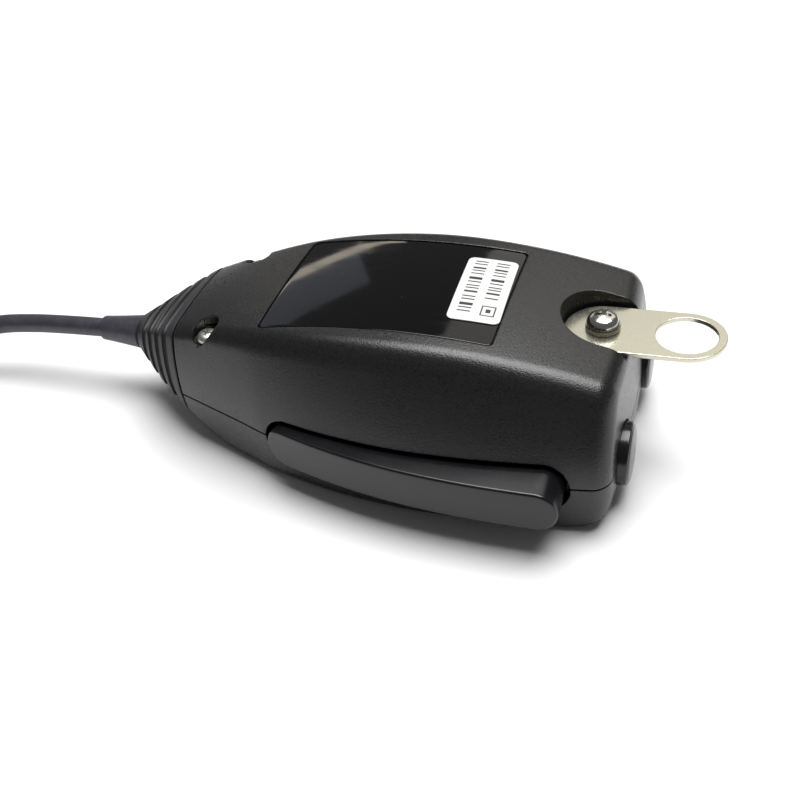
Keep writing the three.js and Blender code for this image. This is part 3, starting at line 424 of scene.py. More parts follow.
@dataclass(frozen=True)
class SolderMask:
    """The board's green mask over copper tracks, with tinned pads and a woven core at its edges."""

    name: str
    mask: Colour = (0.008, 0.075, 0.026)
    track: Colour = (0.022, 0.150, 0.050)
    tin: Colour = (0.55, 0.54, 0.50)

    def make(self) -> bpy.types.Material:
        """Returns the material."""
        g = Graph(self.name)
        flow = g.noise(7.0, 0.0)
        lines = g.node("ShaderNodeMath", {"operation": "PINGPONG"}, {0: flow * 34.0, 1: 0.5})
        tracks = g.band(lines, 0.24, 0.30)
        pads = 1 - g.band(g.cells(3.1), 0.13, 0.16)
        weave = g.noise(0.5, 1.0)
        base = g.blend(tracks, self.mask, self.track)
        return g.finish(
            Base_Color=g.blend(pads, base, self.tin),
            Metallic=pads * 0.9,
            Roughness=0.34 + pads * 0.08 + (weave - 0.5) * 0.12,
            Normal=g.relief(tracks * 0.6 + pads * 0.4 + weave * 0.15, 0.05, 0.6),
        )


@dataclass(frozen=True)
class Woven:
    """The black woven cloth behind the sound slots, with a painted sheen that makes the thread crowns
    lighter.
    """

    name: str
    thread: float = 0.35
    colour: Colour = (0.004, 0.004, 0.0045)
    # crown is a painted sheen colour for the thread crowns.
    crown: Colour = (0.022, 0.022, 0.024)

    def make(self) -> bpy.types.Material:
        """Returns the material."""
        g = Graph(self.name)
        pitch = 1 / (self.thread * MM)
        waves = []
        for way in ("X", "Y"):
            waves.append(g.node("ShaderNodeTexWave", {"bands_direction": way, "wave_profile": "SIN"},
                                {"Vector": g.place(), "Scale": pitch / 20}, "Fac"))
        knots = waves[0] * waves[1]
        return g.finish(
            # Painted sheen: the colour turns lighter where the weave's relief is highest.
            Base_Color=g.blend(knots, self.colour, self.crown),
            Roughness=0.92 - knots * 0.1,
            Sheen_Weight=0.3,
            Normal=g.relief(knots, 0.12, 0.9),
        )


@dataclass(frozen=True)
class Backdrop:
    """The pale floor."""

    name: str
    colour: Colour = (0.90, 0.90, 0.91)

    def make(self) -> bpy.types.Material:
        """Returns the material."""
        g = Graph(self.name)
        cloud = g.noise(60.0, 2.0)
        return g.finish(
            Base_Color=g.blend(cloud * 0.3, self.colour, tuple(0.97 * c for c in self.colour)),
            Roughness=0.75,
            Specular_IOR_Level=0.2,
        )


FINISHES = {
    Slot.CASE: SparkTextured("case_plastic"),
    Slot.GLOSS: Polished("gloss_plastic"),
    Slot.SATIN: Moulded("satin_plastic", (0.0055, 0.0055, 0.0065), (0.011, 0.011, 0.0125), 0.21, 0.05, 0.16,
                        0.004, 0.45),
    Slot.KEY: Moulded("key_rubber", (0.115, 0.120, 0.128), (0.150, 0.155, 0.160), 0.55, 0.08, 0.22, 0.012),
    Slot.BOOT: Moulded("boot_rubber", (0.009, 0.0088, 0.0105), (0.018, 0.0175, 0.020), 0.50, 0.10, 0.26,
                       0.016, 0.7),
    Slot.JACKET: Jacket("cable_jacket"),
    Slot.NICKEL: Brushed("nickel", (0.66, 0.64, 0.525), (0.60, 0.58, 0.47), 0.25, (2600, 500, 2600)),
    Slot.SCREW: Brushed("zinc_screw", (0.76, 0.74, 0.68), (0.62, 0.61, 0.58), 0.36, (2500, 2500, 2500)),
    Slot.LABEL: Film("label_film"),
    Slot.BOARD: SolderMask("circuit_board"),
    Slot.COMPONENT: Moulded("component", (0.018, 0.018, 0.020), (0.030, 0.030, 0.032), 0.5, 0.1, 0.2),
    Slot.METAL: Brushed("bare_metal", (0.62, 0.63, 0.64), (0.46, 0.47, 0.48), 0.30, (400, 5000, 5000)),
    Slot.CLOTH: Woven("cloth"),
}


class Palette:
    """Makes each finish once and hands it out."""

    def __init__(self) -> None:
        """Starts with nothing made."""
        self._made: dict[str, bpy.types.Material] = {}

    def get(self, finish: object) -> bpy.types.Material:
        """Returns the material of a finish.

        Args:
            finish: One of the finish classes' objects.
        """
        if finish.name not in self._made:
            self._made[finish.name] = finish.make()
        return self._made[finish.name]

    def dress(self, piece: Piece, slot: Slot, finish: object | None = None) -> None:
        """Gives a piece its only material.

        Args:
            piece: The piece.
            slot: The slot whose finish it takes.
            finish: A finish of its own, if it has one.
        """
        made = self.get(finish or FINISHES[slot])
        if not piece.data.materials:
            piece.data.materials.append(made)
        for k in range(len(piece.data.materials)):
            piece.data.materials[k] = made


PALETTE = Palette()
INK = Moulded("label_ink", (0.012, 0.012, 0.014), (0.030, 0.030, 0.034), 0.5, 0.05, 0.15, 0.002, 0.3)
LEGEND = Moulded("key_legend", (0.72, 0.73, 0.72), (0.62, 0.63, 0.62), 0.5, 0.05, 0.2, 0.004, 0.4)


# -------- modelling by operators


class Bench:
    """The modelling operators, each used with nothing else selected. Places are in millimetres."""

    @staticmethod
    def alone(*objects: Piece) -> Piece:
        """Selects only these objects and makes the first one active.

        Args:
            *objects: The objects to work on.

        Returns:
            The first of them.
        """
        if bpy.context.object and bpy.context.object.mode != "OBJECT":
            bpy.ops.object.mode_set(mode="OBJECT")
        bpy.ops.object.select_all(action="DESELECT")
        for item in objects:
            item.hide_set(False)
            item.select_set(True)
        bpy.context.view_layer.objects.active = objects[0]
        return objects[0]

    @classmethod
    def edit(cls, piece: Piece) -> None:
        """Edits a piece, with all of it selected."""
        cls.alone(piece)
        bpy.ops.object.mode_set(mode="EDIT")
        bpy.ops.mesh.select_all(action="SELECT")

    @staticmethod
    def place(piece: Piece, points: Iterable[Point3]) -> None:
        """Moves a mesh's vertices, in their order, to points in millimetres."""
        piece.data.vertices.foreach_set("co", [MM * value for point in points for value in point])
        piece.data.update()

    @staticmethod
    def primitive(operator: Callable, name: str, **settings: object) -> Piece:
        """Adds a primitive and names it.

        Args:
            operator: The operator that adds it.
            name: Its name.
            **settings: The operator's own settings, in metres.

        Returns:
            The new object.
        """
        bpy.ops.object.select_all(action="DESELECT")
        operator(**settings)
        made = bpy.context.object
        made.name = name
        bpy.ops.object.transform_apply(location=True, rotation=True, scale=True)
        return made

    @classmethod
    def skin(cls, name: str, rings: Sequence[Sequence[Point3]], caps: bool = True) -> Piece:
        """A skin through rings of points, from a grid that is laid over them.

        Args:
            name: The object's name.
            rings: The rings, all with as many points.
            caps: Whether the two ends are filled.

        Returns:
            The object, with its faces pointing out.
        """
        across = len(rings[0]) + 1
        made = cls.primitive(bpy.ops.mesh.primitive_grid_add, name, x_subdivisions=across - 1,
                             y_subdivisions=len(rings) - 1, size=1.0)
        cls.place(made, [ring[k % len(ring)] for ring in rings for k in range(across)])
        cls.edit(made)
        bpy.ops.mesh.remove_doubles(threshold=1e-6)
        if caps:
            bpy.ops.mesh.select_all(action="DESELECT")
            bpy.ops.mesh.select_mode(type="EDGE")
            bpy.ops.mesh.select_non_manifold(extend=False, use_wire=False, use_multi_face=False,
                                             use_non_contiguous=False, use_verts=False)
            bpy.ops.mesh.edge_face_add()
        cls.outward()
        return made

    @staticmethod
    def outward() -> None:
        """Turns the faces of the mesh that is edited outwards, and leaves edit mode."""
        bpy.ops.mesh.select_all(action="SELECT")
        bpy.ops.mesh.normals_make_consistent(inside=False)
        bpy.ops.object.mode_set(mode="OBJECT")

    @classmethod
    def raised(cls, name: str, outline: Sequence[Point2], low: float, high: float,
               turn: Matrix | None = None) -> Piece:
        """A flat outline extruded upwards.

        Args:
            name: The object's name.
            outline: Its points, in order.
            low: The height of its underside.
            high: The height of its top.
            turn: A turn that is given to the finished body.

        Returns:
            The object.
        """
        made = cls.primitive(bpy.ops.mesh.primitive_circle_add, name, vertices=len(outline), radius=1.0)
        cls.place(made, [(x, y, low) for x, y in outline])
        cls.edit(made)
        bpy.ops.mesh.edge_face_add()
        bpy.ops.mesh.extrude_region_move(TRANSFORM_OT_translate={"value": (0, 0, (high - low) * MM)})
        cls.outward()
        if turn is not None:
            made.data.transform(turn)
        return made

    @classmethod
    def block(cls, name: str, low: Point3, high: Point3) -> Piece:
        """A box between two corners."""
        middle = [MM * (a + b) / 2 for a, b in zip(low, high)]
        size = [MM * (b - a) for a, b in zip(low, high)]
        return cls.primitive(bpy.ops.mesh.primitive_cube_add, name, size=1.0, location=middle, scale=size)

    @classmethod
    def spun(cls, name: str, profile: Sequence[Point2], at: Point3, axis: Axis = Axis.Z,
             steps: int = 64) -> Piece:
        """A body of revolution.

        Args:
            name: The object's name.
            profile: Points of (along, radius) that start and end on the axis, or a ring off it.
            at: A point of the axis, from which along is counted.
            axis: The line it turns about.
            steps: How many faces go round.

        Returns:
            The closed object.
        """
        on_axis = profile[0][1] == 0 and profile[-1][1] == 0
        made = cls.primitive(bpy.ops.mesh.primitive_circle_add, name, vertices=len(profile), radius=1.0)
        cls.place(made, [(radius, 0, along) for along, radius in profile])
        cls.edit(made)
        if on_axis:
            cls.select_edges(made, lambda mid, _: math.hypot(mid.x, mid.y) < 1e-7)
            bpy.ops.mesh.delete(type="EDGE")
        bpy.ops.mesh.select_all(action="SELECT")
        bpy.ops.mesh.spin(steps=steps, angle=math.tau, center=(0, 0, 0), axis=(0, 0, 1))
        bpy.ops.mesh.select_all(action="SELECT")
        bpy.ops.mesh.remove_doubles(threshold=1e-6)
        cls.outward()
        turns = {Axis.X: Matrix.Rotation(math.pi / 2, 4, "Y"), Axis.Y: Matrix.Rotation(-math.pi / 2, 4, "X"),
                 Axis.Z: Matrix.Identity(4)}
        made.data.transform(Matrix.Translation([MM * v for v in at]) @ turns[axis])
        return made

    @classmethod
    def rod(cls, name: str, at: Point3, length: float, radius: float, axis: Axis = Axis.Z,
            sides: int = 48) -> Piece:
        """A round bar from a point along an axis."""
        return cls.spun(name, [(0, 0), (0, radius), (length, radius), (length, 0)], at, axis, sides)

    @staticmethod
    def select_edges(piece: Piece, test: Callable[[Vector, Vector], bool]) -> None:
        """Selects edges of the mesh that is edited.

        Args:
            piece: The object, in edit mode.
            test: Told an edge's middle and direction, says whether it is wanted.
        """
        bpy.ops.mesh.select_mode(type="EDGE")
        bpy.ops.mesh.select_all(action="DESELECT")
        mesh = bmesh.from_edit_mesh(piece.data)
        for edge in mesh.edges:
            a, b = edge.verts[0].co, edge.verts[1].co
            edge.select_set(test((a + b) / 2, (b - a).normalized()))
        bmesh.update_edit_mesh(piece.data)

    @classmethod
    def change(cls, body: Piece, how: Cut, *tools: Piece) -> Piece:
        """Cuts, joins or trims a body with others.

        Args:
            body: The body that changes.
            how: What the others do to it.
            *tools: The others, which are used up.

        Returns:
            The changed body.
        """
        for tool in tools:
            cls.alone(body)
            modifier = body.modifiers.new("cut", "BOOLEAN")
            modifier.operation = how.value
            modifier.object = tool
            modifier.solver = "MANIFOLD"
            bpy.ops.object.modifier_apply(modifier=modifier.name)
            bpy.data.objects.remove(tool)
        return body

    @classmethod
    def joined(cls, *pieces: Piece) -> Piece:
        """Makes several bodies that don't touch into one object, and returns it."""
        cls.alone(*pieces)
        bpy.ops.object.join()
        return pieces[0]

    @classmethod
    def rounded(cls, piece: Piece, width: float, segments: int = 2, angle: float = 35.0,
                tidy: float = 0.02) -> Piece:
        """Rounds the sharp edges of a piece.

        Args:
            piece: The piece.
            width: The rounding's width in millimetres.
            segments: How many faces it has.
            angle: Edges that turn by more than this many degrees are rounded.
            tidy: Points closer than this are merged first, in millimetres.

        Returns:
            The piece.
        """
        cls.edit(piece)
        bpy.ops.mesh.remove_doubles(threshold=tidy * MM)
        bpy.ops.mesh.dissolve_degenerate(threshold=tidy * MM)
        bpy.ops.object.mode_set(mode="OBJECT")
        modifier = piece.modifiers.new("round", "BEVEL")
        modifier.width = width * MM
        modifier.segments = segments
        modifier.limit_method = "ANGLE"
        modifier.angle_limit = math.radians(angle)
        modifier.use_clamp_overlap = False
        bpy.ops.object.modifier_apply(modifier=modifier.name)
        return piece

    @classmethod
    def smooth(cls, piece: Piece, angle: float = 38.0) -> Piece:
        """Shades a piece smooth except over sharp edges, with flat faces kept flat."""
        cls.alone(piece)
        bpy.ops.object.shade_smooth_by_angle(angle=math.radians(angle), keep_sharp_edges=False)
        modifier = piece.modifiers.new("even", "WEIGHTED_NORMAL")
        modifier.keep_sharp = True
        bpy.ops.object.modifier_apply(modifier=modifier.name)
        return piece


def settle(piece: Piece, body: str, slot: Slot, *nodes: str, finish: object | None = None) -> None:
    """Gives a finished piece its finish, its body and the nodes it stands for.

    Args:
        piece: The piece.
        body: The body it moves with.
        slot: Its material slot.
        *nodes: The CAD nodes that it replaces.
        finish: A finish of its own, if the slot's isn't used.
    """
    PALETTE.dress(piece, slot, finish)
    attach(piece, body)
    if nodes:
        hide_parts(*nodes)


# -------- outlines


def arc(x: float, y: float, radius: float, start: float, end: float, steps: int) -> list[Point2]:
    """Points on an arc.

    Args:
        x: The middle's x.
        y: The middle's y.
        radius: The radius.
        start: The first angle in quarter turns.
        end: The last angle in quarter turns.
        steps: How many straight bits it has.

    Returns:
        The points, both ends included.
    """
    points = []
    for k in range(steps + 1):
        angle = (start + (end - start) * k / steps) * math.pi / 2
        points.append((x + radius * math.cos(angle), y + radius * math.sin(angle)))
    return points


def rounded_box(x0: float, x1: float, y0: float, y1: float, radius: float, steps: int = 8) -> list[Point2]:
    """The outline of a rectangle with round corners."""
    middles = ((x1 - radius, y0 + radius), (x1 - radius, y1 - radius), (x0 + radius, y1 - radius),
               (x0 + radius, y0 + radius))
    return [point for k, (x, y) in enumerate(middles) for point in arc(x, y, radius, k - 1, k, steps)]


def stadium(x0: float, x1: float, y: float, radius: float, steps: int = 24) -> list[Point2]:
    """The outline of a slot with round ends, whose round ends' middles are at x0 and x1."""
    return arc(x1, y, radius, -1, 1, steps) + arc(x0, y, radius, 1, 3, steps)


def bezier(points: Sequence[Point2], t: float) -> Point2:
    """The place at t on a curve of three or four control points."""
    while len(points) > 1:
        points = [(a[0] + (b[0] - a[0]) * t, a[1] + (b[1] - a[1]) * t) for a, b in zip(points, points[1:])]
    return points[0]


def fair(knots: Sequence[Point2], x: float) -> float:
    """The height at x of a smooth curve through a few knots.

    Args:
        knots: The knots, in order.
        x: Where.

    Returns:
        The height.
    """
    last = len(knots) - 1
    i = 0
    while i < last - 1 and x > knots[i + 1][0]:
        i += 1

    def slope(k: int) -> float:
        """The slope at knot k."""
        before, after = knots[max(k - 1, 0)], knots[min(k + 1, last)]
        return (after[1] - before[1]) / (after[0] - before[0])

    span = knots[i + 1][0] - knots[i][0]
    t = (x - knots[i][0]) / span
    return (knots[i][1] * (2 * t**3 - 3 * t**2 + 1) + knots[i + 1][1] * (3 * t**2 - 2 * t**3)
            + span * (slope(i) * (t**3 - 2 * t**2 + t) + slope(i + 1) * (t**3 - t**2)))


# -------- the case's form


@dataclass
class CaseForm:
    """The form that both shells are cut from. x is counted from the case's mid-length."""

    length: float = 100.0
    width: float = 65.4
    rear_width: float = 46.6
    height: float = 36.7
    crest_sag: float = 7.25
    crest_shift: float = 0.055
    crown: float = 0.9
    parting: float = 12.0
    parting_gap: float = 0.3
    wall: float = 2.2
    edge: float = 3.2
    foot: float = 3.0
    end_edge: float = 3.3
    end_lean: float = 1.2
    end_tuck: float = 3.4
    end_bulge: float = 1.5
    lift: float = 6.0
    lift_length: float = 15.0
    toe_lift: float = 1.4
    toe_length: float = 10.0
    lip: float = 0.6
    shoulder: float = 5.5
    shoulder_lift: float = 3.5
    stations: int = 84
    parting_line: tuple[Point2, ...] = ((-1, 0.52), (-0.65, 0.725), (-0.5, 0.817), (-0.23, 0.927),
                                        (0.07, 0.991), (0.37, 1), (0.67, 0.969), (1, 0.905))
    rear_line: tuple[Point2, ...] = ((-1, 0.601), (-0.53, 0.888), (0, 1), (0.48, 0.987), (1, 0.936))
    middle: float = field(init=False)

    def __post_init__(self) -> None:
        """Finds where the case's mid-length is in the frame."""
        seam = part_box("rear_shell")[0].x / MM
        self.middle = round(seam + self.length / 2, 2)

    @property
    def half(self) -> float:
        """Half of the case's length."""
        return self.length / 2

    @property
    def seam(self) -> float:
        """The x of the case's cable end in the frame."""
        return self.middle - self.half

    def side(self, x: float) -> float:
        """Half of the width at the parting line."""
        return self.width / 2 * fair(self.parting_line, x / self.half)

    def rear(self, x: float) -> float:
        """Half of the width of the rear face."""
        return self.rear_width / 2 * fair(self.rear_line, x / self.half)

    def crest(self, x: float) -> float:
        """The height of the rear face's middle."""
        return self.height - self.crest_sag * (x / self.half - self.crest_shift) ** 2

    def front(self, x: float) -> float:
        """The height of the front face, which lifts at both ends."""
        along = max(0.0, (self.lift_length - (x + self.half)) / self.lift_length)
        beyond = max(0.0, (x - self.half + self.toe_length) / self.toe_length)
        return self.lift * along * along + self.toe_lift * beyond * beyond

    def half_section(self, x: float, inset: float) -> list[Point2]:
        """Half of the section at x, from the crest down the side to the middle of the front face.

        Args:
            x: Where.
            inset: How far it is drawn in.

        Returns:
            Points of (y, z).
        """
        side = self.side(x) - inset * 1.05
        rear = self.rear(x) - inset
        top = self.crest(x) - inset
        rear_edge = top - self.crown
        bottom = self.front(x) + inset
        edge = max(self.edge - inset, 1.0)
        foot = max(self.foot - inset, 0.8)
        shoulder = self.parting + self.shoulder + self.shoulder_lift * max(0.0, -x / self.half) ** 2
        flank = [(rear, rear_edge), (side, shoulder), (side, self.parting)]
        crown_end = (rear - edge, rear_edge + self.crown * 0.28)
        below = bezier(flank, 0.14)
        beyond = bezier(flank, 0.16)
        lead = (below[0] - beyond[0], below[1] - beyond[1])
        slope = (crown_end[1] - top) / ((rear - edge) / 2)
        reach = (below[1] - crown_end[1] - slope * (below[0] - crown_end[0])) / (slope * lead[0] - lead[1])
        corner = (below[0] + lead[0] * reach, below[1] + lead[1] * reach)
        outline = [bezier([(0, top), ((rear - edge) / 2, top), crown_end], k / 10) for k in range(10)]
        outline += [bezier([crown_end, corner, below], k / 9) for k in range(9)]
        outline += [bezier(flank, 0.14 + 0.86 * k / 14) for k in range(15)]
        heel = (side - 0.4, bottom + foot)
        outline += [(side + (heel[0] - side) * k / 4, self.parting + (heel[1] - self.parting) * k / 4)
                    for k in range(1, 4)]
        toe = side - 0.4 - foot
        outline += [bezier([heel, (side - 0.5, bottom), (toe, bottom)], k / 6) for k in range(7)]
        outline += [(toe * (1 - k / 4), bottom) for k in range(1, 5)]
        return outline

    def ring(self, x: float, inset: float) -> list[Point2]:
        """The whole section at x, as points of (y, z)."""
        half = self.half_section(x, inset)
        return half + [(-y, z) for y, z in reversed(half[1:-1])]

    def end_face(self, y: float, z: float, inset: float = 0.0) -> float:
        """Where the top end's face is, over a point of it."""
        high = max(0.0, z - self.parting) / (self.crest(self.half) - self.parting)
        low = max(0.0, self.parting - z) / self.parting
        bow = self.end_bulge * (y / self.side(self.half)) ** 2
        return self.half + 0.2 - inset - bow - self.end_lean * high**1.3 - self.end_tuck * low**4

    def end_ring(self, stop: float, inset: float, shrink: float, back: float) -> list[Point3]:
        """A ring of the rounding between the sides and the top end's face.

        Args:
            stop: Where the last plain section is.
            inset: How far the whole form is drawn in.
            shrink: How far this ring is drawn in besides.
            back: How far it lies behind the end face.

        Returns:
            The ring's points, with x from mid-length.
        """
        points = []
        for (y0, z0), (y1, z1) in zip(self.ring(stop, inset + shrink), self.ring(self.half, inset + shrink)):
            x = self.end_face(y1, z1, inset) - back
            share = (x - stop) / (self.half - stop)
            points.append((x, y0 + (y1 - y0) * share, z0 + (z1 - z0) * share))
        return points

    def body(self, inset: float = 0.0, name: str = "form") -> Piece:
        """The closed form, drawn in by inset all over.

        Args:
            inset: How far it is drawn in.
            name: The object's name.

        Returns:
            The object, in the frame's place.
        """
        start = -self.half + inset
        rings = []
        if inset <= 0:
            for k in range(4):
                turn = math.pi / 2 * k / 4
                shrink = self.lip * (1 - math.sin(turn))
                rings.append([(start + self.lip * (1 - math.cos(turn)), y, z)
                              for y, z in self.ring(start + self.lip, inset + shrink)])
            start += self.lip
        stop = self.half - 8.5
        for k in range(self.stations + 1):
            x = start + (stop - start) * k / self.stations
            rings.append([(x, y, z) for y, z in self.ring(x, inset)])
        turn_radius = max(self.end_edge - inset, 0.8)
        steps = 9
        rounding = []
        for k in range(steps + 1):
            angle = math.pi / 2 * k / steps
            rounding.append(self.end_ring(stop, inset, turn_radius * (1 - math.cos(angle)),
                                          turn_radius * (1 - math.sin(angle))))
        plain = rings[-1]
        for share in (0.33, 0.67):
            rings.append([tuple(a + (b - a) * share for a, b in zip(*pair))
                          for pair in zip(plain, rounding[0])])
        rings += rounding
        for share in (0.92, 0.84, 0.75, 0.64, 0.5, 0.34, 0.17):
            close = [(y * share, self.parting + (z - self.parting) * share) for _, y, z in rounding[-1]]
            rings.append([(self.end_face(y, z, inset), y, z) for y, z in close])
        shifted = [[(x + self.middle, y, z) for x, y, z in ring] for ring in rings]
        return Bench.skin(name, shifted)

    def slice(self, name: str, outline: Sequence[Point2], top: float, under: float) -> Piece:
        """A sheet that follows the rear face between two insets, inside an outline.

        Args:
            name: The object's name.
            outline: Its outline from above, with x from mid-length.
            top: The inset of its outer face.
            under: The inset of its inner face.

        Returns:
            The object.
        """
        made = Bench.raised(name, self.moved(outline), self.parting + 4, self.height + 5)
        Bench.change(made, Cut.KEEP, self.body(top))
        return Bench.change(made, Cut.TAKE, self.body(under))

    def moved(self, outline: Iterable[Point2]) -> list[Point2]:
        """An outline moved from mid-length into the frame."""
        return [(x + self.middle, y) for x, y in outline]


@dataclass
class Cutouts:
    """The openings that more than one piece shares, and the places that they follow."""

    form: CaseForm
    gap: float = 0.3
    run: float = 0.35
    screw_from_seam: float = 8.9
    screw_inset: float = 2.3
    counterbore: float = 3.2
    counter_floor: float = 26.8
    post_from_end: float = 7.3
    pocket_half: float = 9.2
    pocket_start: float = 34.15
    pocket_floor: float = 28.35
    talk_start: float = -24.0
    talk_end: float = 40.4
    talk_height: float = 9.4
    talk_centre: float = 11.4
    talk_slot_gap: float = 1.0
    button_radius: float = 6.6
    button_height: float = 10.4
    button_from_side: float = 13.4
    cable_height: float = 15.5
    talk_back: float = -16.0
    boot_half: float = 8.3
    boot_tall: float = 6.3
    screw_bore: float = 1.65
    post_bore: float = 2.2
    pocket_round: float = 0.92

    @property
    def screw_x(self) -> float:
        """The case screws' place from mid-length."""
        return -self.form.half + self.screw_from_seam

    @property
    def screw_y(self) -> float:
        """The case screws' distance from the middle line."""
        return self.form.rear(self.screw_x) - self.screw_inset

    @property
    def post_x(self) -> float:
        """The hanger screw's place from mid-length."""
        return self.form.half - self.post_from_end

    @property
    def post(self) -> float:
        """The hanger screw's place in the frame."""
        return self.form.middle + self.post_x

    def screw(self, side: int) -> Point2:
        """The place of a case screw in the frame; side is -1 for the near one, 1 for the far one."""
        return self.form.middle + self.screw_x, side * self.screw_y

    @property
    def button_y(self) -> float:
        """The buttons' distance from the middle line."""
        return self.form.side(self.form.half) - self.button_from_side

    def pocket(self, extra: float = 0.0) -> list[Point2]:
        """The outline of the pocket that the hanger tab lies in, from mid-length."""
        half = self.pocket_half + extra
        deep = half * self.pocket_round
        end = self.form.half + 5
        start = self.pocket_start - extra
        far = [(start + deep, half), (start + deep * 0.45, half), (start, half * 0.55), (start, 0)]
        near = [(start, 0), (start, -half * 0.55), (start + deep * 0.45, -half), (start + deep, -half)]
        curve = [bezier(far, k / 16) for k in range(16)] + [bezier(near, k / 16) for k in range(17)]
        return [(end, -half), (end, half), *curve]

    def talk_slot(self) -> Piece:
        """The cutter of the talk bar's slot, a stadium pushed through the near flank."""
        flat = self.talk_height / 2
        outline = stadium(self.talk_start + flat, self.talk_end - flat, self.talk_centre,
                          flat + self.talk_slot_gap)
        turn = Matrix.Rotation(math.pi / 2, 4, "X")
        return Bench.raised("slot", self.form.moved(outline), -self.talk_back, 60.0, turn)

    def button_bore(self, side: int) -> Piece:
        """The bore of an end button."""
        at = (self.form.middle + self.form.half - 8, side * self.button_y, self.button_height)
        return Bench.rod("bore", at, 16, self.button_radius + self.run, Axis.X, 72)

    def boot_opening(self) -> Piece:
        """The opening that the boot's neck passes through."""
        seam = self.form.seam
        half, tall = self.boot_half, self.boot_tall
        return Bench.block("opening", (seam - 1, -half, self.cable_height - tall),
                           (seam + self.form.wall + 1, half, self.cable_height + tall))


# -------- the shells


